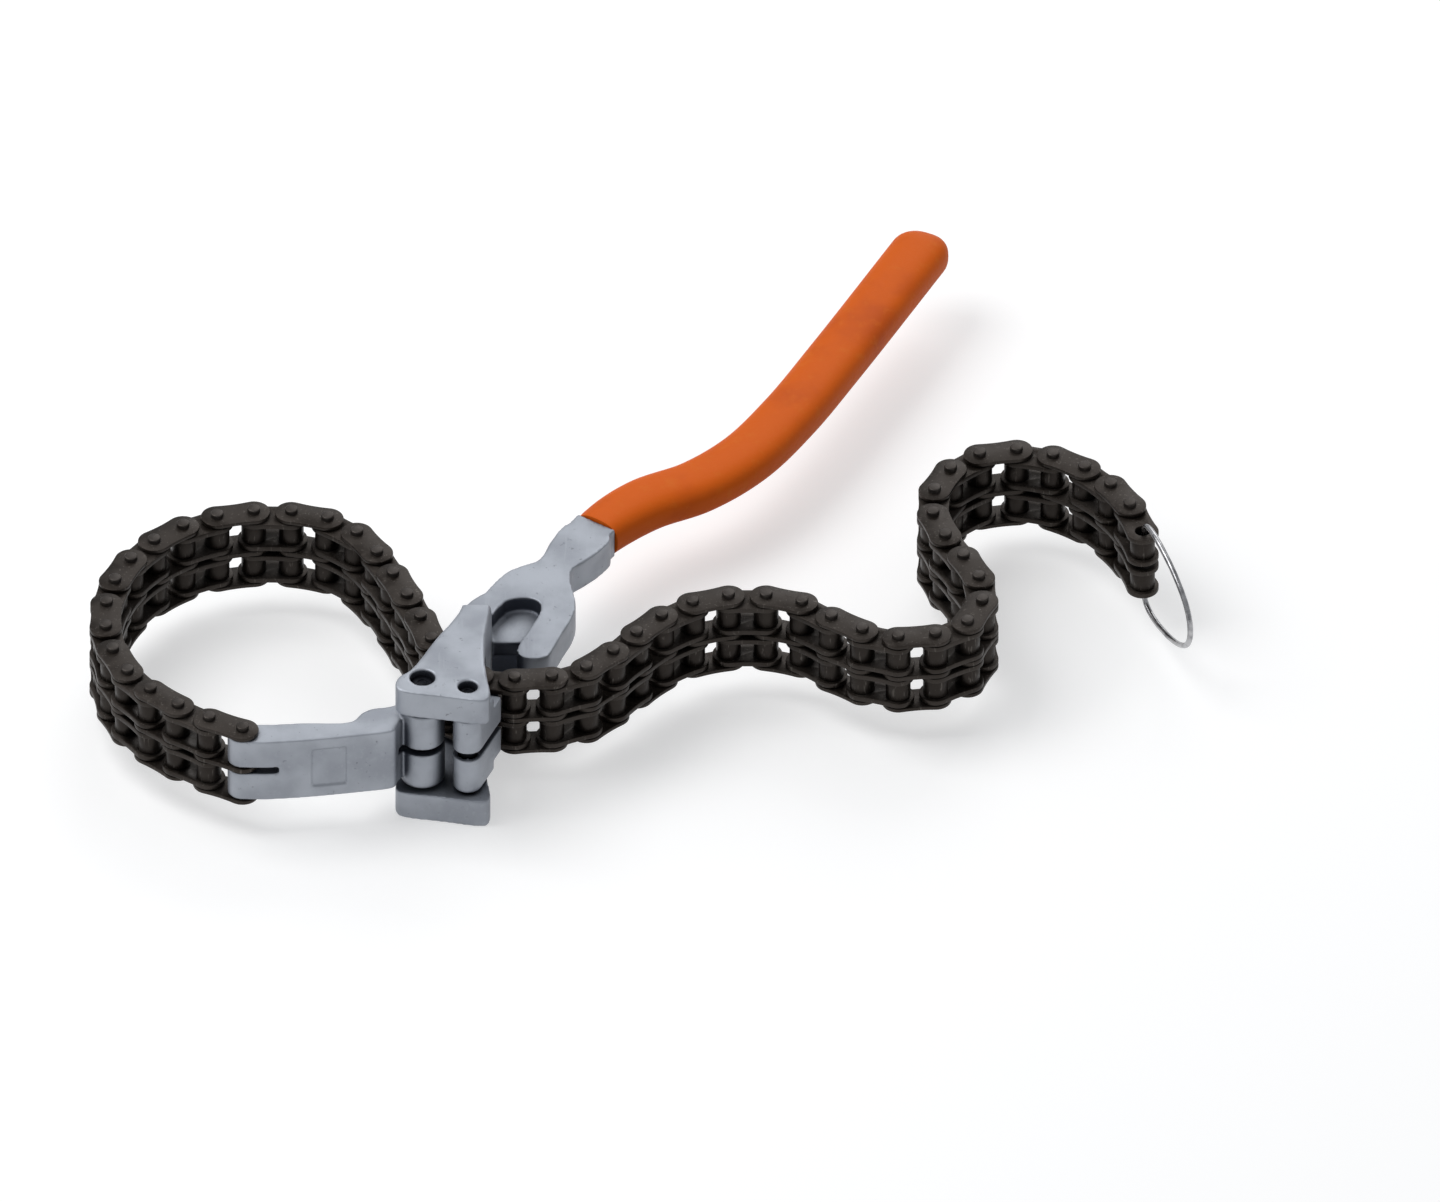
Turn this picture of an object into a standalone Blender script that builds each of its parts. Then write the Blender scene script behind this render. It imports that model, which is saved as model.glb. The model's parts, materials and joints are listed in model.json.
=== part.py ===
"""Chain filter wrench: a forged handle whose fork holds a duplex roller chain.

An arm pivots in the fork and carries the first link. The chain makes a loop for the filter,
runs back through the fork, where a claw holds one link, and ends in a wire ring.
The plan is drawn round the arm's pivot, in metres, with +Z up. The finished wrench is then
moved so that the origin lies under the middle of its box, at the height of its underside.
"""

import math

import bmesh
import bpy
from mathutils import Matrix, Vector

MM = 0.001

# Running clearance between pieces that touch on the real wrench
CLEARANCE = 0.3 * MM

# Duplex roller chain, 3/8 inch pitch
CHAIN_PITCH = 9.525 * MM
STRAND_SPACING = 10.24 * MM
PLATE_HEIGHT = 8.26 * MM
INNER_PLATE_THICKNESS = 1.4 * MM
OUTER_PLATE_THICKNESS = 1.04 * MM
ROLLER_WIDTH = 5.72 * MM
ROLLER_DIAMETER = 6.35 * MM
BUSH_DIAMETER = 6.0 * MM
CHAIN_PIN_DIAMETER = 3.28 * MM
CHAIN_PIN_LENGTH = 23.8 * MM
LINK_COUNT = 52
HELD_LINK = 24
LOOP_OPENING = 12
PIN_SIDES = 6
ROLLER_SIDES = 8
BUSH_SIDES = 6
OUTER_PLATE_ARC = 4
INNER_PLATE_ARC = 3

# Route of the chain in plan: the loop is an ellipse, the tail lies in bends set by eye
LOOP_HALF_WIDTH = 40.7 * MM
LOOP_HALF_DEPTH = 43.2 * MM
LOOP_TO_ARM_PIN = Vector((0.8, -6.4)) * MM
LOOP_CENTRE = LOOP_TO_ARM_PIN + Vector((-LOOP_HALF_WIDTH, LOOP_HALF_DEPTH))
LOOP_START, LOOP_END, LOOP_STEP = -120, -330, -30
TAIL_ROUTE = (
    (-0.2, 36.0), (3.0, 25.6), (7.6, 17.6), (15.0, 12.9), (24.0, 11.7), (33.8, 12.7),
    (43.0, 17.2), (51.0, 26.0), (58.8, 35.6), (69.0, 43.0), (82.5, 46.0), (96.0, 43.0),
    (105.8, 35.4), (116.5, 29.4), (127.8, 29.2), (137.8, 34.2), (142.2, 44.5), (140.2, 56.2),
    (133.6, 68.0), (129.4, 80.5), (131.8, 93.8), (141.0, 103.0), (153.4, 104.8), (165.4, 99.6),
    (175.0, 90.2), (181.0, 79.2), (183.8, 68.5), (185.4, 57.0),
)
ROUTE_SAMPLES = 40

# Fork: two cheeks over and under the chain, joined behind it
HUB_SIDE_CLEARANCE = 0.8 * MM
CHEEK_THICKNESS = 8.0 * MM
CHEEK_GAP = 25.0 * MM
CHAIN_TO_WEB = 1.5 * MM
CHEEK_BACK = 29.5 * MM
FORK_TAPER = 15.0 * MM
CHEEK_OUTLINE = (
    (-6.9, -3.0), (-6.3, -4.9), (-4.4, -6.0), (14.4, -9.6), (16.4, -9.2), (17.2, -7.2),
    (16.4, 0.0), (15.7, 8.0), (15.8, 16.0), (17.0, 27.0), (17.6, 38.0), (17.2, 45.4),
    (21.0, 51.6), (20.0, 57.0), (16.0, 55.0), (10.4, 48.6), (9.4, 38.0), (10.0, 29.2),
    (3.0, 15.1), (-2.9, 3.4), (-6.2, 0.0),
)
POCKET_FRONT = 30.0 * MM
POCKET_STATIONS = 7
POCKET_SAMPLES = 2

# Neck with the heel beside the fork
NECK_THICKNESS = 8.6 * MM
NECK_WIDTH = 11.4 * MM
HEEL_OUTLINE = (
    (23.9, 31.4), (24.8, 29.2), (26.8, 28.1), (30.2, 28.2), (32.0, 29.4), (33.2, 32.0),
    (35.6, 38.5), (38.0, 44.6), (38.9, 50.0), (38.2, 55.8), (37.5, 60.9), (38.2, 64.9),
    (40.8, 67.3), (45.1, 72.1), (47.8, 77.4), (37.4, 83.4), (32.2, 75.0), (30.9, 71.0),
    (29.0, 67.8), (25.6, 66.0), (21.6, 63.4), (16.8, 56.4), (14.0, 50.0), (17.2, 45.4),
    (20.4, 50.8), (23.6, 52.5), (27.2, 52.6), (29.6, 51.0), (29.9, 47.4), (27.2, 40.2),
)
RELIEF_FLOOR_THICKNESS = 4.4 * MM
RELIEF_OUTLINE = (
    (16.8, 39.5), (27.6, 39.5), (30.8, 47.0), (30.0, 52.8), (20.6, 52.8), (16.4, 45.6),
)

# Handle: a flat bar bent in plan, dipped in vinyl
HANDLE_ROUTE = (
    (37.4, 72.0), (45.5, 85.3), (56.4, 95.9), (69.6, 103.2),
    (81.8, 114.6), (92.9, 131.5), (104.9, 154.6), (125.9, 197.4),
)
HANDLE_SAMPLES = 4
GRIP_START = 13.6 * MM
GRIP_WIDTH = 15.2 * MM
GRIP_START_WIDTH = 12.8 * MM
GRIP_FLARE_LENGTH = 20.0 * MM
GRIP_THICKNESS = 10.0 * MM
GRIP_EDGE = 3.4 * MM
TANG_THICKNESS = 6.0 * MM
TANG_END_COVER = 6.0 * MM

# Arm that carries the first link
ARM_PIN_DIAMETER = 5.8 * MM
ARM_HUB_DIAMETER = 11.4 * MM
ARM_END = Vector((-45.7, -8.9)) * MM
ARM_END_RADIUS = 3.8 * MM
ARM_OUTLINE = (
    (-40.0, -12.8), (-30.0, -11.9), (-15.0, -9.6), (-8.6, -8.4), (-7.0, -7.6), (-6.2, -5.4),
    (-3.6, -2.0), (3.0, 0.0), (-1.0, 5.4), (-5.2, 3.6), (-8.6, 2.0), (-12.8, 1.2),
    (-15.4, -0.6), (-18.0, -4.0), (-30.0, -4.6), (-38.0, -5.2),
)
ARM_SLOT_HEIGHT = 2.0 * MM
ARM_SLOT_LENGTH = 13.0 * MM
HUB_SLOT_LENGTH = 11.8 * MM
ARM_PANEL_LENGTH = 9.0 * MM
ARM_PANEL_HEIGHT = 12.0 * MM
ARM_PANEL_DEPTH = 0.5 * MM
ARM_PANEL_PLACE = Vector((-23.6, -11.2)) * MM

# Claw that holds one link between its rollers
CLAW_PIN_PLACE = Vector((11.5, -3.7)) * MM
CLAW_PIN_DIAMETER = 4.4 * MM
CLAW_HUB_DIAMETER = 7.6 * MM
CLAW_NOSE_WIDTH = 5.0 * MM
CLAW_NOSE_TO_PLATES = 0.9 * MM
TOOTH_HEIGHT = 4.8 * MM
TOOTH_ROOT_WIDTH = 4.4 * MM
TOOTH_TIP_WIDTH = 1.6 * MM
TOOTH_TIP_TO_CENTRE = 2.1 * MM
CLAW_SLOT_HEIGHT = 2.4 * MM
CLAW_SLOT_DEPTH = 9.0 * MM
FORK_PIN_RECESS = 1.8 * MM

# Wire ring through the last link's bore
RING_WIRE_DIAMETER = 1.5 * MM
RING_OUTLINE = (
    (0.0, 0.0), (0.0, 5.0), (0.0, 9.6), (1.2, 12.2), (3.8, 13.4), (8.0, 13.6),
    (13.0, 12.9), (19.0, 11.4), (24.8, 8.8), (28.8, 5.6), (30.6, 2.0),
)
RING_TURN = math.radians(3)

ROUND_SIDES = 16
SMOOTH_ANGLE = math.radians(35)

MID_HEIGHT = CHEEK_THICKNESS + CHEEK_GAP / 2
PLATE_RADIUS = PLATE_HEIGHT / 2
STRAND_WIDTH = ROLLER_WIDTH + 2 * INNER_PLATE_THICKNESS
INNER_LINK_HEIGHT = STRAND_SPACING + STRAND_WIDTH
CHAIN_BORE_RADIUS = (CHAIN_PIN_DIAMETER / 2 + CLEARANCE) / math.cos(math.pi / PIN_SIDES)


def in_metres(points):
    """Turn rows of millimetres into vectors in metres."""
    return [Vector(point) * MM for point in points]


def heading(angle):
    """Unit vector in plan at an angle from +X."""
    return Vector((math.cos(angle), math.sin(angle)))


def left_of(direction):
    """Unit vector a quarter turn to the left of a plan direction."""
    return Vector((-direction.y, direction.x)).normalized()


def arc(centre, radius, start, end, steps):
    """Points along an arc in plan, both ends included."""
    angles = (start + (end - start) * i / steps for i in range(steps + 1))
    return [centre + radius * heading(angle) for angle in angles]


def circle(centre, radius, sides=ROUND_SIDES):
    """A regular outline with its corners at a radius."""
    return arc(centre, radius, 0, 2 * math.pi * (1 - 1 / sides), sides - 1)


def hole_radius(pin_diameter, sides=ROUND_SIDES):
    """Corner radius of a faceted hole whose flats clear a pin."""
    return (pin_diameter / 2 + CLEARANCE) / math.cos(math.pi / sides)


def smooth_curve(points, samples):
    """Centripetal Catmull-Rom curve through plan points."""
    ends = [2 * points[0] - points[1], *points, 2 * points[-1] - points[-2]]
    curve = []
    for p0, p1, p2, p3 in zip(ends, ends[1:], ends[2:], ends[3:]):
        t1 = (p1 - p0).length ** 0.5
        t2 = t1 + (p2 - p1).length ** 0.5
        t3 = t2 + (p3 - p2).length ** 0.5
        for i in range(samples):
            t = t1 + (t2 - t1) * i / samples
            a1 = p0.lerp(p1, t / t1)
            a2 = p1.lerp(p2, (t - t1) / (t2 - t1))
            a3 = p2.lerp(p3, (t - t2) / (t3 - t2))
            b1 = a1.lerp(a2, t / t2)
            b2 = a2.lerp(a3, (t - t1) / (t3 - t1))
            curve.append(b1.lerp(b2, (t - t1) / (t2 - t1)))
    return [*curve, points[-1]]


def chain_route():
    """Curve that the chain's pins follow, from the arm round the loop to the end of the tail."""
    loop = [
        LOOP_CENTRE + Vector((LOOP_HALF_WIDTH * math.cos(angle), LOOP_HALF_DEPTH * math.sin(angle)))
        for angle in map(math.radians, range(LOOP_START, LOOP_END, LOOP_STEP))
    ]
    return smooth_curve([ARM_END, *loop, *in_metres(TAIL_ROUTE)], ROUTE_SAMPLES)


def chain_pivots(route):
    """Step along the route one pitch at a time, chord by chord."""
    pivots, step = [route[0]], 0
    while len(pivots) <= LINK_COUNT:
        while step < len(route) - 2 and (route[step + 1] - pivots[-1]).length < CHAIN_PITCH:
            step += 1
        start, along = route[step], route[step + 1] - route[step]
        back = start - pivots[-1]
        a, b, c = along.dot(along), 2 * back.dot(along), back.dot(back) - CHAIN_PITCH**2
        pivots.append(start + along * (-b + math.sqrt(b * b - 4 * a * c)) / (2 * a))
    return pivots


def ribbon(path, half_width, round_end=False, end_steps=8, flare=None):
    """Outline on both sides of a plan path, with an even width after any narrower start."""
    tangents = [after - before for before, after in zip([path[0], *path], [*path[1:], path[-1]])]
    reaches = [half_width] * len(path)
    if flare:
        start_half_width, length = flare
        for i in range(len(path)):
            share = min(1, path_length(path[:i + 1]) / length)
            reaches[i] = start_half_width + (half_width - start_half_width) * share
    right = [p - reach * left_of(t) for p, t, reach in zip(path, tangents, reaches)]
    left = [p + reach * left_of(t) for p, t, reach in zip(path, tangents, reaches)]
    if not round_end:
        return [*right, *reversed(left)]
    turn = math.atan2(tangents[-1].y, tangents[-1].x)
    cap = arc(path[-1], half_width, turn - math.pi / 2, turn + math.pi / 2, end_steps)
    return [*right[:-1], *cap, *reversed(left[:-1])]


def from_distance(path, distance):
    """The rest of a path after a distance along it."""
    for i, (start, end) in enumerate(zip(path, path[1:])):
        length = (end - start).length
        if distance < length:
            return [start.lerp(end, distance / length), *path[i + 1:]]
        distance -= length
    return path[-1:]


def path_length(path):
    """Length along a path."""
    return sum((end - start).length for start, end in zip(path, path[1:]))


def up_to_distance(path, distance):
    """The first stretch of a path, as long as a distance."""
    return list(reversed(from_distance(list(reversed(path)), path_length(path) - distance)))


def stadium(arc_steps):
    """Outline of a chain plate from pin to pin."""
    quarter = math.pi / 2
    return [
        *arc(Vector((CHAIN_PITCH, 0)), PLATE_RADIUS, -quarter, quarter, arc_steps),
        *arc(Vector((0, 0)), PLATE_RADIUS, quarter, 3 * quarter, arc_steps),
    ]


def baked(holder):
    """Mesh of an object as its modifiers leave it; the object is removed."""
    bpy.context.view_layer.update()
    evaluated = holder.evaluated_get(bpy.context.evaluated_depsgraph_get())
    mesh = bpy.data.meshes.new_from_object(evaluated)
    bpy.data.objects.remove(holder)
    return mesh


def place_in_scene(name, data):
    """Put a new object in the scene's collection."""
    holder = bpy.data.objects.new(name, data)
    bpy.context.scene.collection.objects.link(holder)
    return holder


def slab(outline, low, high):
    """A flat outline filled between two heights, as a closed mesh."""
    curve = bpy.data.curves.new("outline", "CURVE")
    curve.dimensions = "2D"
    curve.fill_mode = "BOTH"
    curve.extrude = (high - low) / 2
    spline = curve.splines.new("POLY")
    spline.points.add(len(outline) - 1)
    for point, (x, y) in zip(spline.points, outline):
        point.co = (x, y, 0, 1)
    spline.use_cyclic_u = True
    mesh = baked(place_in_scene("outline", curve))
    mesh.transform(Matrix.Translation((0, 0, (low + high) / 2)))
    form = bmesh.new()
    form.from_mesh(mesh)
    bmesh.ops.remove_doubles(form, verts=form.verts, dist=1e-6)
    bmesh.ops.recalc_face_normals(form, faces=form.faces)
    form.to_mesh(mesh)
    form.free()
    return mesh


def combined(base, operation, *tools):
    """One mesh after a Boolean with each tool mesh in turn."""
    body = place_in_scene("body", base)
    helpers = [place_in_scene("tool", tool) for tool in tools]
    for helper in helpers:
        modifier = body.modifiers.new(operation, "BOOLEAN")
        modifier.operation = operation
        modifier.object = helper
    mesh = baked(body)
    for helper in helpers:
        bpy.data.objects.remove(helper)
    return mesh


def outer_link_mesh():
    """Two outer plates riveted on two pins; the first pin stands on the origin."""
    inner_face = INNER_LINK_HEIGHT / 2 + CLEARANCE
    outer_face = inner_face + OUTER_PLATE_THICKNESS
    outline = stadium(OUTER_PLATE_ARC)
    half_pin = CHAIN_PIN_LENGTH / 2
    pins = [
        slab(circle(Vector((x, 0)), CHAIN_PIN_DIAMETER / 2, PIN_SIDES), -half_pin, half_pin)
        for x in (0, CHAIN_PITCH)
    ]
    low_plate = slab(outline, -outer_face, -inner_face)
    return combined(low_plate, "UNION", slab(outline, inner_face, outer_face), *pins)


def inner_link_mesh():
    """Two strands of plates and rollers, on bushes that run through both."""
    outline = stadium(INNER_PLATE_ARC)
    parts = []
    for middle in (-STRAND_SPACING / 2, STRAND_SPACING / 2):
        for side in (-1, 1):
            near = middle + side * ROLLER_WIDTH / 2
            far = near + side * INNER_PLATE_THICKNESS
            parts.append(slab(outline, min(near, far), max(near, far)))
    reach = INNER_LINK_HEIGHT / 2
    overlap = INNER_PLATE_THICKNESS / 2
    for x in (0, CHAIN_PITCH):
        centre = Vector((x, 0))
        for middle in (-STRAND_SPACING / 2, STRAND_SPACING / 2):
            half = ROLLER_WIDTH / 2 + overlap
            roller = circle(centre, ROLLER_DIAMETER / 2, ROLLER_SIDES)
            parts.append(slab(roller, middle - half, middle + half))
        half = STRAND_SPACING / 2 - STRAND_WIDTH / 2 + overlap
        parts.append(slab(circle(centre, BUSH_DIAMETER / 2, BUSH_SIDES), -half, half))
    bores = [
        slab(circle(Vector((x, 0)), CHAIN_BORE_RADIUS, PIN_SIDES), -2 * reach, 2 * reach)
        for x in (0, CHAIN_PITCH)
    ]
    return combined(combined(parts[0], "UNION", *parts[1:]), "DIFFERENCE", *bores)


def fork_profile():
    """Side view of the fork, thick at the cheeks and tapered back to the neck."""
    top = MID_HEIGHT * 2
    waist_low = MID_HEIGHT - NECK_THICKNESS / 2
    waist_high = MID_HEIGHT + NECK_THICKNESS / 2
    back = CHEEK_BACK + FORK_TAPER
    front, end = -POCKET_FRONT, back + POCKET_FRONT
    outline = [
        Vector(point)
        for point in (
            (front, 0), (CHEEK_BACK, 0), (back, waist_low), (end, waist_low),
            (end, waist_high), (back, waist_high), (CHEEK_BACK, top), (front, top),
        )
    ]
    mesh = slab(outline, -3 * POCKET_FRONT, 3 * POCKET_FRONT)
    mesh.transform(Matrix(((0, 0, 1, 0), (1, 0, 0, 0), (0, 1, 0, 0), (0, 0, 0, 1))))
    return mesh


def fork_pocket():
    """Room between the cheeks: everything in front of a line just behind the chain's route."""
    bend = smooth_curve(in_metres(TAIL_ROUTE[:POCKET_STATIONS]), POCKET_SAMPLES)
    offset = PLATE_RADIUS + CHAIN_TO_WEB
    tangents = [after - before for before, after in zip([bend[0], *bend], [*bend[1:], bend[-1]])]
    back = [place + offset * left_of(t) for place, t in zip(bend, tangents)]
    right, left = back[-1].x, -POCKET_FRONT
    corners = [Vector((right, -POCKET_FRONT)), Vector((left, -POCKET_FRONT)), Vector((left, back[0].y))]
    return slab([*back, *corners], CHEEK_THICKNESS, CHEEK_THICKNESS + CHEEK_GAP)


def handle_fork_mesh(handle_path):
    """The forging: two cheeks, the web behind the chain, the heel, the neck and the tang."""
    half_neck = NECK_THICKNESS / 2
    neck_low, neck_high = MID_HEIGHT - half_neck, MID_HEIGHT + half_neck
    cheeks = slab(in_metres(CHEEK_OUTLINE), -MM, 2 * MID_HEIGHT + MM)
    fork = combined(cheeks, "INTERSECT", fork_profile())
    heel = slab(in_metres(HEEL_OUTLINE), neck_low, neck_high)
    floor = slab(in_metres(RELIEF_OUTLINE), neck_low, neck_low + RELIEF_FLOOR_THICKNESS)
    neck_path = up_to_distance(handle_path, GRIP_START - CLEARANCE)
    neck = slab(ribbon(neck_path, NECK_WIDTH / 2), neck_low, neck_high)
    tang_path = up_to_distance(handle_path, path_length(handle_path) - TANG_END_COVER)
    tang_path = from_distance(tang_path, GRIP_START / 2)
    tang = slab(
        ribbon(tang_path, NECK_WIDTH / 2, round_end=True),
        MID_HEIGHT - TANG_THICKNESS / 2,
        MID_HEIGHT + TANG_THICKNESS / 2,
    )
    forging = combined(fork, "UNION", heel, floor, neck, tang)
    arm_hole = slab(circle(Vector((0, 0)), hole_radius(ARM_PIN_DIAMETER)), -MM, 2 * MID_HEIGHT + MM)
    claw_hole = slab(circle(CLAW_PIN_PLACE, hole_radius(CLAW_PIN_DIAMETER)), -MM, 2 * MID_HEIGHT + MM)
    return combined(forging, "DIFFERENCE", fork_pocket(), arm_hole, claw_hole)


def grip_mesh(handle_path):
    """Vinyl sleeve with a closed round end, hollow where the tang goes in."""
    path = from_distance(handle_path, GRIP_START)
    skin = place_in_scene("skin", slab(
        ribbon(path, GRIP_WIDTH / 2, round_end=True, flare=(GRIP_START_WIDTH / 2, GRIP_FLARE_LENGTH)),
        MID_HEIGHT - GRIP_THICKNESS / 2,
        MID_HEIGHT + GRIP_THICKNESS / 2,
    ))
    edge = skin.modifiers.new("rounded edges", "BEVEL")
    edge.width = GRIP_EDGE
    edge.segments = 2
    edge.angle_limit = math.radians(60)
    hollow_path = up_to_distance(handle_path, path_length(handle_path) - TANG_END_COVER)
    hollow_path = from_distance(hollow_path, GRIP_START - 2 * MM)
    hollow = slab(
        ribbon(hollow_path, NECK_WIDTH / 2 + CLEARANCE, round_end=True),
        MID_HEIGHT - TANG_THICKNESS / 2 - CLEARANCE,
        MID_HEIGHT + TANG_THICKNESS / 2 + CLEARANCE,
    )
    return combined(baked(skin), "DIFFERENCE", hollow)


def anchor_arm_mesh():
    """Arm from the fork's pivot to the first link; both its ends are slotted at mid height."""
    half_body = INNER_LINK_HEIGHT / 2
    half_hub = CHEEK_GAP / 2 - HUB_SIDE_CLEARANCE
    body_points = in_metres(ARM_OUTLINE)
    end = arc(ARM_END, ARM_END_RADIUS, math.radians(100), math.radians(262), 6)
    body = slab([*body_points, *end], MID_HEIGHT - half_body, MID_HEIGHT + half_body)
    hub = slab(circle(Vector((0, 0)), ARM_HUB_DIAMETER / 2), MID_HEIGHT - half_hub, MID_HEIGHT + half_hub)
    reach = ARM_SLOT_LENGTH
    depth = reach - ARM_END_RADIUS
    end_slot = [
        ARM_END + Vector(corner)
        for corner in ((-reach, -reach), (depth, -reach), (depth, reach), (-reach, reach))
    ]
    hub_slot = [
        Vector(corner)
        for corner in (
            (ARM_HUB_DIAMETER / 2 - HUB_SLOT_LENGTH, -ARM_HUB_DIAMETER),
            (ARM_HUB_DIAMETER, -ARM_HUB_DIAMETER),
            (ARM_HUB_DIAMETER, ARM_HUB_DIAMETER),
            (ARM_HUB_DIAMETER / 2 - HUB_SLOT_LENGTH, ARM_HUB_DIAMETER),
        )
    ]
    slots = [
        slab(outline, MID_HEIGHT - ARM_SLOT_HEIGHT / 2, MID_HEIGHT + ARM_SLOT_HEIGHT / 2)
        for outline in (end_slot, hub_slot)
    ]
    bores = [
        slab(circle(ARM_END, CHAIN_BORE_RADIUS, PIN_SIDES), 0, 2 * MID_HEIGHT),
        slab(circle(Vector((0, 0)), hole_radius(ARM_PIN_DIAMETER)), 0, 2 * MID_HEIGHT),
    ]
    return combined(combined(body, "UNION", hub), "DIFFERENCE", *slots, *bores, arm_panel())


def arm_panel():
    """Cutter for the shallow plain panel on the arm's front face."""
    face_start, face_end = in_metres(ARM_OUTLINE[1:3])
    along = (face_end - face_start).normalized()
    outward = -left_of(along)
    middle = face_start + along * (ARM_PANEL_PLACE - face_start).dot(along)
    outline = [
        middle + along * x * ARM_PANEL_LENGTH / 2 + outward * y * ARM_PANEL_DEPTH
        for x, y in ((-1, 3), (-1, -1), (1, -1), (1, 3))
    ]
    return slab(outline, MID_HEIGHT - ARM_PANEL_HEIGHT / 2, MID_HEIGHT + ARM_PANEL_HEIGHT / 2)


def claw_mesh(pivots):
    """Hub with a nose whose two teeth stand between the rollers of the held link."""
    start, end = pivots[HELD_LINK - 1], pivots[HELD_LINK]
    along = (end - start).normalized()
    front = -left_of(along)
    middle = start.lerp(end, 0.5)
    half_height = CHEEK_GAP / 2 - HUB_SIDE_CLEARANCE
    nose_reach = PLATE_RADIUS + CLAW_NOSE_TO_PLATES
    nose = [middle + front * nose_reach + along * side * CLAW_NOSE_WIDTH / 2 for side in (1, -1)]
    toward = middle - CLAW_PIN_PLACE
    turn = math.atan2(toward.y, toward.x)
    hub = arc(CLAW_PIN_PLACE, CLAW_HUB_DIAMETER / 2, turn + math.pi / 2, turn + 3 * math.pi / 2, 8)
    body = slab([*hub, *nose], MID_HEIGHT - half_height, MID_HEIGHT + half_height)
    tooth = [
        middle + front * depth + along * side * width / 2
        for depth, side, width in (
            (nose_reach + MM, -1, TOOTH_ROOT_WIDTH),
            (nose_reach + MM, 1, TOOTH_ROOT_WIDTH),
            (TOOTH_TIP_TO_CENTRE, 1, TOOTH_TIP_WIDTH),
            (TOOTH_TIP_TO_CENTRE, -1, TOOTH_TIP_WIDTH),
        )
    ]
    teeth = [
        slab(tooth, MID_HEIGHT + strand - TOOTH_HEIGHT / 2, MID_HEIGHT + strand + TOOTH_HEIGHT / 2)
        for strand in (-STRAND_SPACING / 2, STRAND_SPACING / 2)
    ]
    slot_end = nose_reach + CLAW_SLOT_DEPTH
    slot = [
        middle + front * depth + along * side * CLAW_NOSE_WIDTH
        for depth, side in ((0, -1), (slot_end, -1), (slot_end, 1), (0, 1))
    ]
    slot_cut = slab(slot, MID_HEIGHT - CLAW_SLOT_HEIGHT / 2, MID_HEIGHT + CLAW_SLOT_HEIGHT / 2)
    bore = slab(circle(CLAW_PIN_PLACE, hole_radius(CLAW_PIN_DIAMETER)), 0, 2 * MID_HEIGHT)
    return combined(combined(body, "UNION", *teeth), "DIFFERENCE", slot_cut, bore)


def end_ring_curve():
    """Closed wire loop in an upright plane; its straight side lies in the last link's bore."""
    half = [Vector((x, z)) * MM for x, z in RING_OUTLINE]
    points = [*half, *(Vector((p.x, -p.y)) for p in reversed(half[1:]))]
    lean = CHAIN_PIN_DIAMETER / 2 - RING_WIRE_DIAMETER / 2
    curve = bpy.data.curves.new("end_ring", "CURVE")
    curve.dimensions = "3D"
    curve.bevel_depth = RING_WIRE_DIAMETER / 2
    curve.bevel_resolution = 1
    spline = curve.splines.new("POLY")
    spline.points.add(len(points) - 1)
    for point, place in zip(spline.points, points):
        point.co = (place.x + lean, 0, place.y, 1)
    spline.use_cyclic_u = True
    return curve


def material(name, colour, roughness, metallic):
    """A Principled BSDF material."""
    surface = bpy.data.materials.new(name)
    surface.use_nodes = True
    shader = surface.node_tree.nodes["Principled BSDF"]
    shader.inputs["Base Color"].default_value = (*colour, 1)
    shader.inputs["Roughness"].default_value = roughness
    shader.inputs["Metallic"].default_value = metallic
    return surface


class Assembly:
    """The wrench's collection, and the empty that carries every piece."""

    def __init__(self, name):
        self.collection = bpy.data.collections.new(name)
        bpy.context.scene.collection.children.link(self.collection)
        self.root = bpy.data.objects.new(name, None)
        self.collection.objects.link(self.root)

    def add(self, name, data, surface, place=(0, 0, 0), turn=0.0):
        """Add a piece whose mesh or curve is drawn round its own joint axis."""
        piece = bpy.data.objects.new(name, data)
        if not data.materials:
            data.materials.append(surface)
        if isinstance(data, bpy.types.Mesh):
            data.shade_smooth()
            data.set_sharp_from_angle(angle=SMOOTH_ANGLE)
        piece.location = place
        piece.rotation_euler.z = turn
        piece.parent = self.root
        self.collection.objects.link(piece)
        return piece

    def stand_on_origin(self):
        """Move the root so that the middle of the box's underside is the origin."""
        bpy.context.view_layer.update()
        graph = bpy.context.evaluated_depsgraph_get()
        places = []
        for piece in self.root.children:
            mesh = piece.evaluated_get(graph).to_mesh()
            places.extend(piece.matrix_world @ vertex.co for vertex in mesh.vertices)
        low = Vector(map(min, *places))
        high = Vector(map(max, *places))
        self.root.location = (-(low.x + high.x) / 2, -(low.y + high.y) / 2, -low.z)


def moved_to_axis(mesh, axis):
    """Shift a mesh drawn in the plan so that its joint axis passes through its own origin."""
    mesh.transform(Matrix.Translation((-axis.x, -axis.y, 0)))
    return mesh


def add_chain(wrench, pivots, surface):
    """One object for each link, with its origin on the pin that carries it.

    The arm carries the loop's first links, and the held link carries both the rest of the loop
    and the tail. The loop's two stretches meet at the pivot after link LOOP_OPENING.
    """
    outer, inner = outer_link_mesh(), inner_link_mesh()
    for number, (start, end) in enumerate(zip(pivots, pivots[1:]), 1):
        if LOOP_OPENING < number < HELD_LINK:
            start, end = end, start
        along = end - start
        is_outer = number % 2 == 1
        name = f"outer_link_{number:02d}" if is_outer else f"inner_link_{number:02d}"
        place = (start.x, start.y, MID_HEIGHT)
        wrench.add(name, outer if is_outer else inner, surface, place, math.atan2(along.y, along.x))


def fork_pin_mesh(diameter):
    """Plain pin through both cheeks, its ends just below their faces."""
    return slab(circle(Vector((0, 0)), diameter / 2), FORK_PIN_RECESS, 2 * MID_HEIGHT - FORK_PIN_RECESS)


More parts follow.
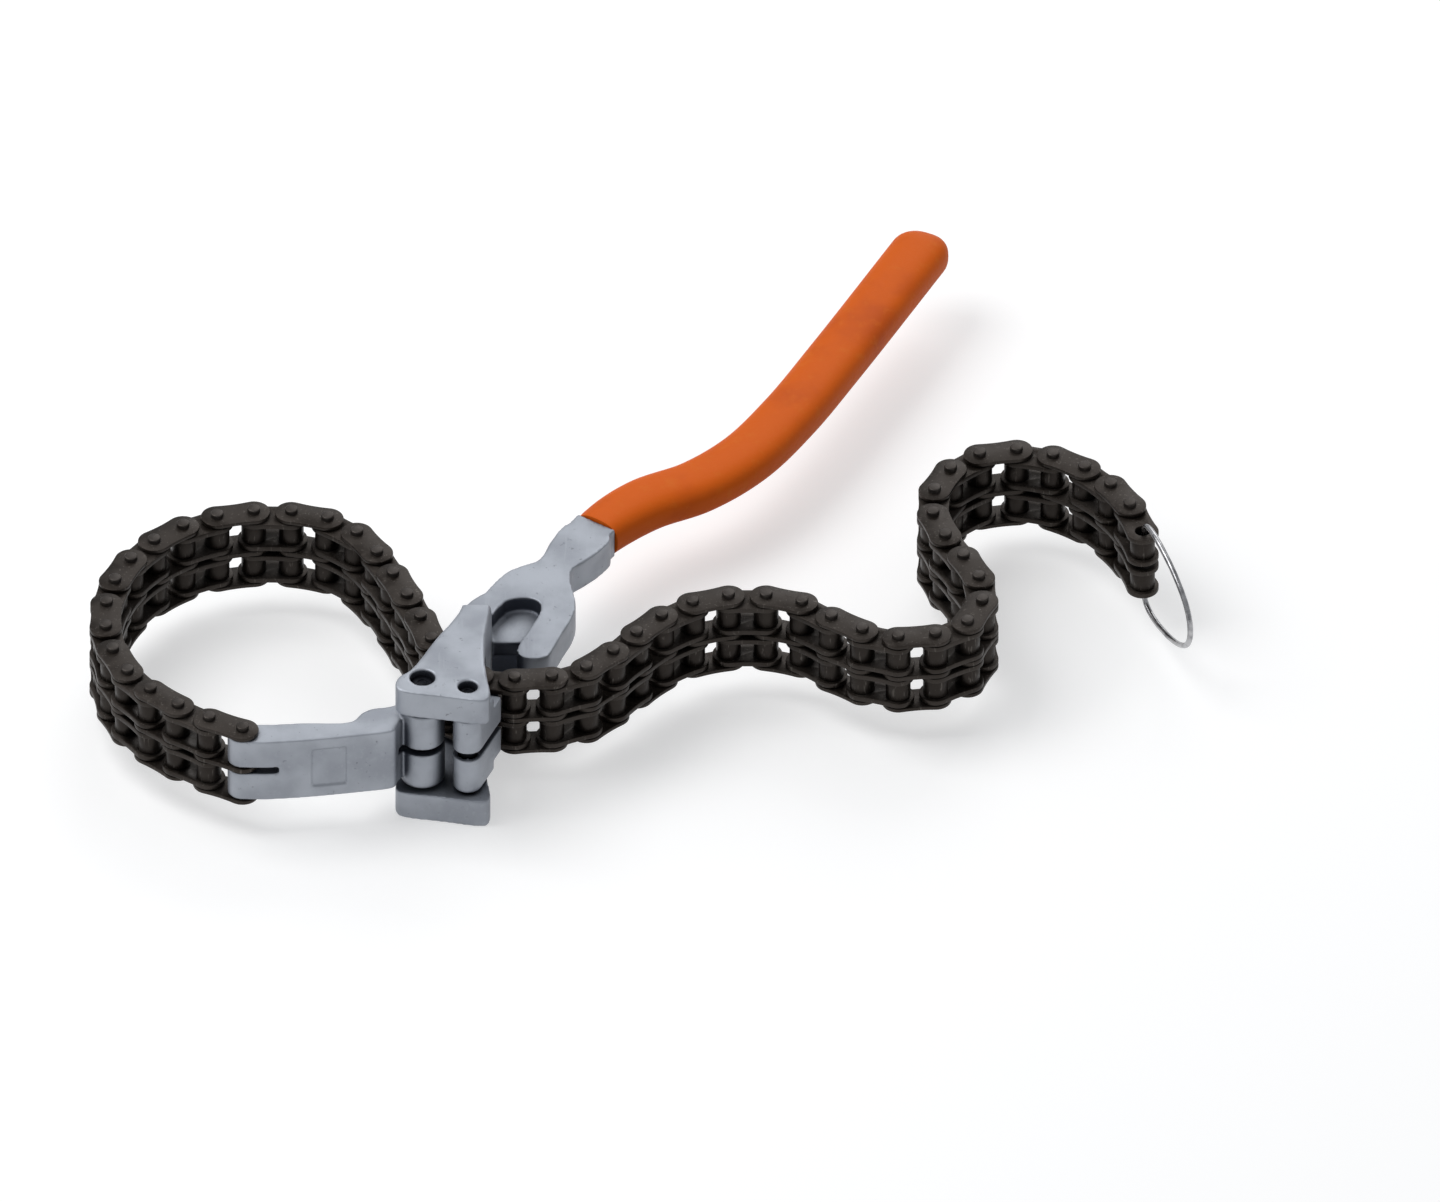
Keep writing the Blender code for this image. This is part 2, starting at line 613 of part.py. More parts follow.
def main():
    """Clear the scene and build the wrench."""
    for old in list(bpy.data.objects):
        bpy.data.objects.remove(old)
    steel = material("satin forged steel", (0.52, 0.56, 0.62), 0.42, 0.9)
    pin_steel = material("dark pin steel", (0.08, 0.08, 0.09), 0.5, 0.8)
    chain_steel = material("oiled chain steel", (0.055, 0.045, 0.04), 0.45, 0.75)
    wire_steel = material("bright wire", (0.6, 0.6, 0.62), 0.3, 1.0)
    vinyl = material("orange vinyl", (0.75, 0.13, 0.012), 0.45, 0.0)
    pivots = chain_pivots(chain_route())
    handle_path = smooth_curve(in_metres(HANDLE_ROUTE), HANDLE_SAMPLES)
    wrench = Assembly("chain_filter_wrench")
    wrench.add("handle_fork", handle_fork_mesh(handle_path), steel)
    wrench.add("grip", grip_mesh(handle_path), vinyl)
    wrench.add("anchor_arm", anchor_arm_mesh(), steel)
    wrench.add("arm_pin", fork_pin_mesh(ARM_PIN_DIAMETER), pin_steel)
    wrench.add("claw", moved_to_axis(claw_mesh(pivots), CLAW_PIN_PLACE), steel, CLAW_PIN_PLACE.to_3d())
    wrench.add("claw_pin", fork_pin_mesh(CLAW_PIN_DIAMETER), pin_steel, CLAW_PIN_PLACE.to_3d())
    add_chain(wrench, pivots, chain_steel)
    last = pivots[-1] - pivots[-2]
    ring_turn = math.atan2(last.y, last.x) + RING_TURN
    ring_place = (pivots[-1].x, pivots[-1].y, MID_HEIGHT)
    wrench.add("end_ring", end_ring_curve(), wire_steel, ring_place, ring_turn)
    wrench.stand_on_origin()


main()
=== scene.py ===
"""Chain filter wrench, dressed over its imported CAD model.

Sizes are in metres. What is drawn in plan is drawn round the arm's pivot, and then moved to the
place that the frame gives for that pivot. The chain's links stand on the frame's own pivots.
"""

from __future__ import annotations

import json
import logging
import math
from abc import ABC, abstractmethod
from dataclasses import dataclass, field
from enum import Enum
from typing import Any, Callable, Mapping, Sequence, Union

import bpy
from mathutils import Matrix, Vector

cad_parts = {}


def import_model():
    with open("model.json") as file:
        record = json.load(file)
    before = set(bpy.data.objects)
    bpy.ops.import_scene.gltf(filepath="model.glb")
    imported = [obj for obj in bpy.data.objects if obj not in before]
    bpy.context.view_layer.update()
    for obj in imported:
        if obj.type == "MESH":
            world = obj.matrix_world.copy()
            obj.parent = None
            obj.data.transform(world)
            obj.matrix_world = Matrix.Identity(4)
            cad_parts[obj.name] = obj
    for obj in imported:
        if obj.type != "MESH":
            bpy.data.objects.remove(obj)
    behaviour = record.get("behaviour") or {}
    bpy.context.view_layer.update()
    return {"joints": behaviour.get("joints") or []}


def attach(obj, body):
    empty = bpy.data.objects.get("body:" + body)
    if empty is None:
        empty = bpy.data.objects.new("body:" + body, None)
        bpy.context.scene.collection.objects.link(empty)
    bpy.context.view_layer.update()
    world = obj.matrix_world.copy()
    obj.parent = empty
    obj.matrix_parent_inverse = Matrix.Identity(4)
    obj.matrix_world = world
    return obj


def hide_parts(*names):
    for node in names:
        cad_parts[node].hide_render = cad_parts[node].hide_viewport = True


LOG = logging.getLogger("chain_filter_wrench")

MM = 0.001
CLEARANCE = 0.3 * MM  # play between pieces that turn or slide on each other
OVERSHOOT = 1.0 * MM  # how far a cutter reaches past what it cuts
CAP_STEPS = 24  # steps round a half circle in plan
OCCLUSION_SAMPLES = 8

Rows = Sequence[tuple[float, float]]
Colour = tuple[float, float, float]


class Slot(Enum):
    """Finishes that the record names."""

    FORGED_STEEL = "forged_steel"
    PIN_STEEL = "pin_steel"
    CHAIN_STEEL = "chain_steel"
    WIRE = "wire"
    VINYL = "vinyl"


class Cut(Enum):
    """What a Boolean does with its tool."""

    AWAY = "DIFFERENCE"
    COMMON = "INTERSECT"
    WELD = "UNION"


@dataclass(frozen=True)
class Levels:
    """Heights that all the wrench's pieces share."""

    cheek_thickness: float = 8.0 * MM
    cheek_gap: float = 25.0 * MM

    @property
    def middle(self) -> float:
        """Height of the chain's mid plane."""
        return self.cheek_thickness + self.cheek_gap / 2

    @property
    def top(self) -> float:
        """Height of the upper cheek's top face."""
        return 2 * self.middle

    @property
    def cheeks_inside(self) -> tuple[float, float]:
        """Heights of the cheeks' inner faces."""
        return self.cheek_thickness, self.cheek_thickness + self.cheek_gap

    def band(self, half: float) -> tuple[float, float]:
        """Heights at the same reach under and over the mid plane."""
        return self.middle - half, self.middle + half


LEVELS = Levels()


def in_metres(rows: Rows) -> list[Vector]:
    """Turn rows of millimetres into plan vectors.

    Args:
        rows: Pairs of X and Y in millimetres.

    Returns:
        The same places in metres.
    """
    return [Vector(row) * MM for row in rows]


def heading(angle: float) -> Vector:
    """Unit vector in plan at an angle from +X."""
    return Vector((math.cos(angle), math.sin(angle)))


def left_of(direction: Vector) -> Vector:
    """Unit vector a quarter turn to the left of a plan direction."""
    return Vector((-direction.y, direction.x)).normalized()


def arc(centre: Vector, radius: float, start: float, end: float, steps: int) -> list[Vector]:
    """Points along an arc in plan.

    Args:
        centre: The arc's centre.
        radius: Its radius.
        start: Angle of the first point, in radians.
        end: Angle of the last point.
        steps: Number of equal steps between them.

    Returns:
        The points, both ends included.
    """
    angles = (start + (end - start) * i / steps for i in range(steps + 1))
    return [centre + radius * heading(angle) for angle in angles]


def spline(points: Sequence[Vector], samples: int, closed: bool = False) -> list[Vector]:
    """Centripetal Catmull-Rom curve through plan points.

    Args:
        points: The stations, in order.
        samples: Points made for each stretch between two stations.
        closed: Whether the curve runs back to its first station.

    Returns:
        The curve's points. A closed curve doesn't repeat the first one.
    """
    if closed:
        stations = [points[-1], *points, points[0], points[1]]
    else:
        stations = [2 * points[0] - points[1], *points, 2 * points[-1] - points[-2]]
    curve: list[Vector] = []
    for p0, p1, p2, p3 in zip(stations, stations[1:], stations[2:], stations[3:]):
        t1 = (p1 - p0).length ** 0.5
        t2 = t1 + (p2 - p1).length ** 0.5
        t3 = t2 + (p3 - p2).length ** 0.5
        for i in range(samples):
            t = t1 + (t2 - t1) * i / samples
            a1 = p0.lerp(p1, t / t1)
            a2 = p1.lerp(p2, (t - t1) / (t2 - t1))
            a3 = p2.lerp(p3, (t - t2) / (t3 - t2))
            b1 = a1.lerp(a2, t / t2)
            b2 = a2.lerp(a3, (t - t1) / (t3 - t1))
            curve.append(b1.lerp(b2, (t - t1) / (t2 - t1)))
    return curve if closed else [*curve, points[-1]]


@dataclass(frozen=True)
class Path:
    """A route in plan."""

    points: tuple[Vector, ...]

    def length(self) -> float:
        """Length along the route."""
        return sum((b - a).length for a, b in zip(self.points, self.points[1:]))

    def after(self, distance: float) -> Path:
        """The rest of the route after a distance along it."""
        for i, (start, end) in enumerate(zip(self.points, self.points[1:])):
            step = (end - start).length
            if distance < step:
                return Path((start.lerp(end, distance / step), *self.points[i + 1:]))
            distance -= step
        return Path(self.points[-1:])

    def before(self, distance: float) -> Path:
        """The route's first stretch, as long as a distance."""
        backward = Path(tuple(reversed(self.points))).after(self.length() - distance)
        return Path(tuple(reversed(backward.points)))

    def tangents(self) -> list[Vector]:
        """Direction of the route at each point, from its neighbours."""
        points = self.points
        return [b - a for a, b in zip((points[0], *points), (*points[1:], points[-1]))]

    def beside(self, offset: float) -> list[Vector]:
        """The route's points, each moved to the left by an offset."""
        return [point + offset * left_of(tangent) for point, tangent in zip(self.points, self.tangents())]

    def ribbon(self, half_width: float, round_end: bool = False) -> list[Vector]:
        """Outline on both sides of the route.

        Args:
            half_width: Reach on each side.
            round_end: Whether the far end is a half circle.

        Returns:
            The closed outline, its right side first.
        """
        right, left = self.beside(-half_width), self.beside(half_width)
        if not round_end:
            return [*right, *reversed(left)]
        last = self.tangents()[-1]
        turn = math.atan2(last.y, last.x)
        cap = arc(self.points[-1], half_width, turn - math.pi / 2, turn + math.pi / 2, CAP_STEPS)
        return [*right[:-1], *cap, *reversed(left[:-1])]


class Workpiece:
    """One mesh object, shaped with Blender's operators as by hand."""

    def __init__(self, thing: bpy.types.Object, name: str) -> None:
        """Name the object that the operators work on, and keep it."""
        self.thing = thing
        self.thing.name = name

    @classmethod
    def plate(cls, name: str, outline: Sequence[Vector], low: float, high: float) -> Workpiece:
        """Fill an outline and raise it between two heights.

        Args:
            name: Name of the object.
            outline: Closed outline in plan.
            low: Height of the underside.
            high: Height of the top.

        Returns:
            The closed solid.
        """
        bpy.ops.mesh.primitive_circle_add(vertices=len(outline), fill_type="NGON", location=(0, 0, 0))
        piece = cls(bpy.context.object, name)
        for vertex, point in zip(piece.thing.data.vertices, outline):
            vertex.co = (point.x, point.y, low)
        piece.pick()
        bpy.ops.object.mode_set(mode="EDIT")
        bpy.ops.mesh.select_all(action="SELECT")
        bpy.ops.mesh.extrude_region_move(TRANSFORM_OT_translate={"value": (0, 0, high - low)})
        bpy.ops.object.mode_set(mode="OBJECT")
        return piece.face_outwards()

    @classmethod
    def rod(
        cls, name: str, centre: Vector, radius: float, low: float, high: float, sides: int = 32
    ) -> Workpiece:
        """Upright cylinder between two heights.

        Args:
            name: Name of the object.
            centre: Its axis in plan.
            radius: Its radius.
            low: Height of the lower end.
            high: Height of the upper end.
            sides: Number of side faces.

        Returns:
            The closed solid.
        """
        place = (centre.x, centre.y, (low + high) / 2)
        bpy.ops.mesh.primitive_cylinder_add(vertices=sides, radius=radius, depth=high - low, location=place)
        piece = cls(bpy.context.object, name)
        piece.pick()
        bpy.ops.object.transform_apply(location=True, rotation=True, scale=True)
        return piece

    @classmethod
    def drill(cls, centre: Vector, radius: float, low: float, high: float, sides: int = 48) -> Workpiece:
        """Upright round cutter that reaches past both ends of what it bores."""
        return cls.rod("bore", centre, radius, low - OVERSHOOT, high + OVERSHOOT, sides)

    @classmethod
    def line(
        cls,
        name: str,
        points: Sequence[Vector],
        closed: bool = False,
        shares: Sequence[float] | None = None,
    ) -> Workpiece:
        """Curve of straight steps.

        Args:
            name: Name of the object.
            points: Places along it.
            closed: Whether it runs back to its start.
            shares: Size of a swept section at each point, as a share of the whole.

        Returns:
            The curve.
        """
        bpy.ops.curve.primitive_bezier_circle_add(location=(0, 0, 0))
        piece = cls(bpy.context.object, name)
        curve = piece.thing.data
        curve.splines.clear()
        curve.dimensions = "3D"
        wire = curve.splines.new("POLY")
        wire.points.add(len(points) - 1)
        for knot, point, share in zip(wire.points, points, shares or [1.0] * len(points)):
            knot.co = (*point, 1)
            knot.radius = share
        wire.use_cyclic_u = closed
        return piece

    def to_mesh(self) -> Workpiece:
        """Turn a curve into a closed mesh whose faces point outwards."""
        self.pick()
        bpy.ops.object.convert(target="MESH")
        return self.face_outwards(weld=True)

    def face_outwards(self, weld: bool = False) -> Workpiece:
        """Turn every face outwards, and weld the points that share a place if asked."""
        bpy.ops.object.mode_set(mode="EDIT")
        bpy.ops.mesh.select_all(action="SELECT")
        if weld:
            bpy.ops.mesh.remove_doubles(threshold=CLEARANCE / 100)
        bpy.ops.mesh.normals_make_consistent(inside=False)
        bpy.ops.object.mode_set(mode="OBJECT")
        return self

    def pick(self) -> None:
        """Make this the only selected object, and the active one."""
        bpy.ops.object.select_all(action="DESELECT")
        self.thing.select_set(True)
        bpy.context.view_layer.objects.active = self.thing

    def modify(self, kind: str, **settings: Any) -> Workpiece:
        """Add a modifier, set it and apply it.

        Args:
            kind: The modifier's type.
            **settings: Its properties.

        Returns:
            The piece itself.
        """
        self.pick()
        modifier = self.thing.modifiers.new(kind.lower(), kind)
        for setting, value in settings.items():
            setattr(modifier, setting, value)
        bpy.ops.object.modifier_apply(modifier=modifier.name)
        return self

    def combine(self, how: Cut, *tools: Workpiece) -> Workpiece:
        """Apply a Boolean with each tool in turn, and remove the tools.

        Args:
            how: What the Boolean does.
            *tools: The other solids.

        Returns:
            The piece itself.
        """
        for tool in tools:
            self.modify("BOOLEAN", operation=how.value, object=tool.thing, solver="EXACT")
            bpy.data.objects.remove(tool.thing)
        return self

    def join(self, *others: Workpiece) -> Workpiece:
        """Make other pieces loose parts of this one."""
        self.pick()
        for other in others:
            other.thing.select_set(True)
        bpy.ops.object.join()
        return self

    def round_edges(self, width: float, segments: int = 2, angle: float = 35.0) -> Workpiece:
        """Bevel the edges that turn by more than an angle in degrees."""
        return self.modify(
            "BEVEL",
            width=width,
            segments=segments,
            limit_method="ANGLE",
            angle_limit=math.radians(angle),
            use_clamp_overlap=True,
        )

    def forge(self, voxel: float, rounds: int, faces: int) -> Workpiece:
        """Melt the solids into one skin with the soft edges of a forging.

        Args:
            voxel: Size of the remesh.
            rounds: How often the skin is smoothed.
            faces: Rough number of triangles that are kept.

        Returns:
            The piece itself.
        """
        self.modify("REMESH", mode="VOXEL", voxel_size=voxel)
        self.modify("SMOOTH", factor=0.5, iterations=rounds)
        triangles = sum(len(face.vertices) - 2 for face in self.thing.data.polygons)
        self.modify("DECIMATE", ratio=min(1.0, faces / triangles))
        return self

    def transform(self, matrix: Matrix) -> Workpiece:
        """Move the mesh, and leave the object at the origin."""
        self.thing.data.transform(matrix)
        return self

    def copy(self, name: str, matrix: Matrix) -> Workpiece:
        """A copy with its own mesh, moved by a matrix."""
        thing = bpy.data.objects.new(name, self.thing.data.copy())
        thing.data.name = name
        bpy.context.scene.collection.objects.link(thing)
        return Workpiece(thing, name).transform(matrix)

    def discard(self) -> None:
        """Remove a piece that was only copied."""
        bpy.data.objects.remove(self.thing)

    def smooth(self, angle: float = 40.0) -> Workpiece:
        """Shade smooth, with edges over an angle in degrees kept sharp."""
        self.pick()
        bpy.ops.object.shade_smooth_by_angle(angle=math.radians(angle))
        return self

    def dress(self, material: bpy.types.Material) -> Workpiece:
        """Give the whole piece one material."""
        self.thing.data.materials.clear()
        self.thing.data.materials.append(material)
        return self


Operand = Union["Wire", float, Sequence[float]]


def math_method(operation: str, reflected: bool = False) -> Callable[[Wire, Operand], Wire]:
    """Method that joins a wire and another operand in a Math node.

    Args:
        operation: The node's operation.
        reflected: Whether the wire is the second operand.

    Returns:
        The method.
    """

    def method(wire: Wire, other: Operand) -> Wire:
        """Join the two operands."""
        first, second = (other, wire) if reflected else (wire, other)
        return wire.graph.node("ShaderNodeMath", {"operation": operation}, {0: first, 1: second})

    return method


class Wire:
    """A node's output that takes part in Python expressions."""

    def __init__(self, graph: Graph, socket: bpy.types.NodeSocket) -> None:
        """Keep the graph and the output."""
        self.graph = graph
        self.socket = socket

    __add__ = math_method("ADD")
    __radd__ = math_method("ADD", reflected=True)
    __sub__ = math_method("SUBTRACT")
    __rsub__ = math_method("SUBTRACT", reflected=True)
    __mul__ = math_method("MULTIPLY")
    __rmul__ = math_method("MULTIPLY", reflected=True)

    def eased(self, low: float, high: float) -> Wire:
        """0 below one value and 1 above the other, with a smooth step between."""
        settings = {"interpolation_type": "SMOOTHSTEP"}
        return self.graph.node("ShaderNodeMapRange", settings, {0: self, 1: low, 2: high, 3: 0.0, 4: 1.0})


class Graph:
    """The node tree of a material or of the world."""

    def __init__(self, owner: bpy.types.Material | bpy.types.World, shader: str = "Principled BSDF") -> None:
        """Start from the shader that a new tree holds."""
        owner.use_nodes = True
        self.owner = owner
        self.tree = owner.node_tree
        self.shader = self.tree.nodes[shader]

    @classmethod
    def surface(cls, name: str) -> Graph:
        """Start a new material."""
        return cls(bpy.data.materials.new(name))

    def plug(self, socket: bpy.types.NodeSocket, operand: Operand) -> None:
        """Link a wire to an input, or set the input to a constant."""
        if isinstance(operand, Wire):
            self.tree.links.new(operand.socket, socket)
        else:
            socket.default_value = operand

    def node(
        self,
        kind: str,
        settings: Mapping[str, Any] | None = None,
        inputs: Mapping[int | str, Operand] | None = None,
        output: int | str = 0,
    ) -> Wire:
        """Add a node.

        Args:
            kind: The node's type.
            settings: Its properties.
            inputs: Constants or wires for its inputs, by index or name.
            output: The output that is used.

        Returns:
            The output as a wire.
        """
        made = self.tree.nodes.new(kind)
        for name, value in (settings or {}).items():
            setattr(made, name, value)
        for key, operand in (inputs or {}).items():
            self.plug(made.inputs[key], operand)
        return Wire(self, made.outputs[output])

    def place(self, stretch: Sequence[float] = (1.0, 1.0, 1.0)) -> Wire:
        """The point on the piece, in metres, with each axis multiplied."""
        where = self.node("ShaderNodeTexCoord", output="Object")
        return self.node("ShaderNodeMapping", {}, {"Vector": where, "Scale": stretch})

    def noise(self, place: Wire, per_metre: float, detail: float = 2.0, roughness: float = 0.5) -> Wire:
        """Soft noise of about as many patches in a metre."""
        inputs = {"Vector": place, "Scale": per_metre, "Detail": detail, "Roughness": roughness}
        return self.node("ShaderNodeTexNoise", {}, inputs)

    def crevice(self, reach: float, own: bool = True) -> Wire:
        """How far a spot is shut in.

        Args:
            reach: How far away a wall still counts.
            own: Whether only the piece's own walls count.

        Returns:
            1 in narrow gaps and corners, and 0 on open faces.
        """
        settings = {"samples": OCCLUSION_SAMPLES, "only_local": own}
        return 1.0 - self.node("ShaderNodeAmbientOcclusion", settings, {"Distance": reach}, "AO")

    def upright(self) -> Wire:
        """1 on upright walls, and 0 on level faces."""
        normal = self.node("ShaderNodeTexCoord", output="Normal")
        up = self.node("ShaderNodeSeparateXYZ", {}, {0: normal}, "Z")
        return 1.0 - self.node("ShaderNodeMath", {"operation": "ABSOLUTE"}, {0: up})

    def between(self, low: float, high: float, fade: float = 0.6 * MM) -> Wire:
        """1 at heights between two levels over the table, and 0 a fade below and above them."""
        height = self.node("ShaderNodeSeparateXYZ", {}, {0: self.place()}, "Z")
        return height.eased(low - fade, low) * (1.0 - height.eased(high, high + fade))

    def blend(self, mask: Operand, first: Operand, second: Operand) -> Wire:
        """Mix two colours."""
        shades = [item if isinstance(item, Wire) else (*item, 1.0) for item in (first, second)]
        return self.node("ShaderNodeMix", {"data_type": "RGBA"}, {0: mask, 6: shades[0], 7: shades[1]}, 2)

    def bump(self, height: Wire, distance: float, under: Wire | None = None) -> Wire:
        """A normal bent by a height of 0 to 1 times a distance."""
        inputs: dict[int | str, Operand] = {"Height": height, "Distance": distance, "Strength": 1.0}
        if under:
            inputs["Normal"] = under
        return self.node("ShaderNodeBump", {}, inputs)

    def finish(self, **sockets: Operand) -> bpy.types.Material | bpy.types.World:
        """Feed the shader.

        Args:
            **sockets: Inputs by name, with underscores for spaces.

        Returns:
            The finished material or world.
        """
        for name, operand in sockets.items():
            self.plug(self.shader.inputs[name.replace("_", " ")], operand)
        return self.owner


class Finish(ABC):
    """A surface that is made once and shared."""

    @abstractmethod
    def material(self) -> bpy.types.Material:
        """Build the node tree."""


@dataclass(frozen=True)
class ForgedSteel(Finish):
    """Tumbled forging: cool grey, slightly uneven, with fine grain and a few pits, and painted shade in its
    recesses, in the fork's pocket and where it meets other pieces.
    """

    light: Colour = (0.42, 0.445, 0.49)
    dull: Colour = (0.32, 0.34, 0.38)
    pit: Colour = (0.12, 0.12, 0.13)
    # Painted shade: the dark colour laid into recesses, the fork's pocket and the gaps next to other pieces.
    painted_shade: Colour = (0.045, 0.052, 0.070)
    wall_reach: float = 22 * MM
    fork_reach: float = 32 * MM
    neighbour_reach: float = 14 * MM

    def material(self) -> bpy.types.Material:
        """Build the node tree."""
        graph = Graph.surface("tumbled forged steel")
        place = graph.place()
        cloud = graph.noise(place, per_metre=75.0, detail=3.0)
        grain = graph.noise(place, per_metre=1700.0, detail=4.0, roughness=0.6)
        speck = graph.noise(place, per_metre=620.0, detail=3.0, roughness=0.7).eased(0.64, 0.74)
        scuff = graph.noise(graph.place((1.0, 0.08, 1.0)), per_metre=900.0, detail=2.0).eased(0.58, 0.70)
        tone = graph.blend(cloud.eased(0.35, 0.68), self.light, self.dull)
        tone = graph.blend(scuff * 0.25, tone, self.light)
        tone = graph.blend(speck * 0.45, tone, self.pit)
        # Painted shade on the upright walls of recesses, found by occlusion within the forging.
        shaded_walls = graph.crevice(self.wall_reach).eased(0.16, 0.50) * graph.upright().eased(0.2, 0.7)
        tone = graph.blend(shaded_walls * 0.85, tone, self.painted_shade)
        # Painted shade over the fork's inside, found by occlusion within the forging.
        deep = graph.crevice(self.fork_reach).eased(0.36, 0.64)
        tone = graph.blend(deep * 0.9, tone, self.painted_shade)
        # Painted shade between the cheeks where other pieces stand close, found by occlusion from all
        # pieces.
        floor, roof = LEVELS.cheeks_inside
        near = graph.crevice(self.neighbour_reach, own=False).eased(0.34, 0.62)
        tone = graph.blend(near * graph.between(floor - 0.2 * MM, roof) * 0.9, tone, self.painted_shade)
        waves = graph.bump(graph.noise(place, per_metre=260.0, detail=2.0), 0.06 * MM)
        relief = graph.bump(grain - speck * 1.5, 0.018 * MM, waves)
        return graph.finish(
            Base_Color=tone,
            Metallic=0.65,
            Roughness=0.38 + 0.16 * grain + 0.15 * speck + 0.08 * cloud,
            Normal=relief,
        )


@dataclass(frozen=True)
class OiledSteel(Finish):
    """Dark chain steel under a thin film of oil, with painted shade in its narrow gaps and corners."""

    name: str = "oiled chain steel"
    base: Colour = (0.023, 0.017, 0.013)
    dusty: Colour = (0.060, 0.050, 0.043)
    rub: Colour = (0.15, 0.135, 0.12)
    # Painted shade: the dark colour laid into the links' narrow gaps and corners.
    painted_shade: Colour = (0.006, 0.005, 0.004)
    painted_shade_reach: float = 6 * MM
    gloss: float = 0.36

    def material(self) -> bpy.types.Material:
        """Build the node tree."""
        graph = Graph.surface(self.name)
        place = graph.place()
        film = graph.noise(place, per_metre=120.0, detail=3.0).eased(0.38, 0.66)
        dust = graph.noise(place, per_metre=420.0, detail=4.0, roughness=0.65).eased(0.50, 0.72)
        grain = graph.noise(place, per_metre=2600.0, detail=3.0, roughness=0.6)
        rubbed = graph.noise(graph.place((1.0, 1.0, 0.2)), per_metre=1500.0, detail=2.0).eased(0.62, 0.72)
        tone = graph.blend(film * 0.55, self.base, self.dusty)
        tone = graph.blend(dust * 0.45, tone, self.dusty)
        tone = graph.blend(rubbed * 0.4, tone, self.rub)
        # Painted shade: narrow gaps and corners of each link are darkened by occlusion.
        tone = graph.blend(graph.crevice(self.painted_shade_reach).eased(0.25, 0.8) * 0.9, tone, self.painted_shade)
        return graph.finish(
            Base_Color=tone,
            Metallic=0.7,
            Roughness=self.gloss + 0.18 * film + 0.14 * dust,
            Normal=graph.bump(grain + dust * 0.8, 0.014 * MM),
        )


@dataclass(frozen=True)
class TurnedSteel(Finish):
    """End face of a pin, with a cloudy tone and fine grain."""

    name: str
    base: Colour
    ring: Colour
    metallic: float = 0.85
    roughness: float = 0.36

    def material(self) -> bpy.types.Material:
        """Build the node tree."""
        graph = Graph.surface(self.name)
        place = graph.place()
        cloud = graph.noise(place, per_metre=240.0, detail=3.0).eased(0.35, 0.7)
        grain = graph.noise(graph.place((1.0, 1.0, 0.15)), per_metre=2400.0, detail=3.0)
        tone = graph.blend(cloud * 0.7, self.base, self.ring)
        return graph.finish(
            Base_Color=tone,
            Metallic=self.metallic,
            Roughness=self.roughness + 0.15 * grain,
            Normal=graph.bump(grain, 0.010 * MM),
        )


@dataclass(frozen=True)
class DippedVinyl(Finish):
    """Orange vinyl: soft sheen, slight mottling and a fine orange-peel skin."""

    base: Colour = (0.68, 0.112, 0.002)
    deep: Colour = (0.52, 0.075, 0.004)
    warm: Colour = (0.68, 0.15, 0.012)

    def material(self) -> bpy.types.Material:
        """Build the node tree."""
        graph = Graph.surface("dipped orange vinyl")
        place = graph.place()
        flow = graph.noise(place, per_metre=55.0, detail=3.0, roughness=0.55)
        mottle = graph.noise(place, per_metre=330.0, detail=3.0, roughness=0.6)
        peel = graph.noise(place, per_metre=900.0, detail=2.0)
        fine = graph.noise(place, per_metre=3200.0, detail=2.0)
        tone = graph.blend(flow.eased(0.45, 0.75) * 0.7, self.base, self.deep)
        tone = graph.blend(mottle.eased(0.52, 0.75) * 0.45, tone, self.warm)
        skin = graph.bump(peel, 0.05 * MM)
        return graph.finish(
            Base_Color=tone,
            Metallic=0.0,
            Specular_IOR_Level=0.16,
            Roughness=0.44 + 0.12 * mottle + 0.06 * fine,
            Normal=graph.bump(fine, 0.010 * MM, skin),
        )


@dataclass(frozen=True)
class BrightWire(Finish):
    """Drawn bright wire."""

    base: Colour = (0.46, 0.46, 0.47)
    dull: Colour = (0.24, 0.24, 0.25)

    def material(self) -> bpy.types.Material:
        """Build the node tree."""
        graph = Graph.surface("drawn bright wire")
        place = graph.place()
        cloud = graph.noise(place, per_metre=380.0, detail=3.0).eased(0.4, 0.7)
        lines = graph.noise(graph.place((0.3, 0.3, 3.0)), per_metre=1600.0, detail=2.0)
        return graph.finish(
            Base_Color=graph.blend(cloud, self.base, self.dull),
            Metallic=1.0,
            Roughness=0.20 + 0.12 * lines,
            Normal=graph.bump(lines, 0.006 * MM),
        )


@dataclass(frozen=True)
class Palette:
    """Every finish, each built once."""

    forged: bpy.types.Material
    chain: bpy.types.Material
    roller: bpy.types.Material
    rivet: bpy.types.Material
    pin: bpy.types.Material
    vinyl: bpy.types.Material
    wire: bpy.types.Material

    @classmethod
    def mixed(cls) -> Palette:
        """Build all the materials."""
        return cls(
            forged=ForgedSteel().material(),
            chain=OiledSteel().material(),
            roller=OiledSteel(
                "roller steel", (0.018, 0.013, 0.010), (0.036, 0.029, 0.024), gloss=0.33
            ).material(),
            rivet=TurnedSteel("peened rivet end", (0.060, 0.052, 0.047), (0.034, 0.028, 0.024)).material(),
            pin=TurnedSteel("dark turned pin", (0.005, 0.006, 0.009), (0.012, 0.013, 0.018)).material(),
            vinyl=DippedVinyl().material(),
            wire=BrightWire().material(),
        )


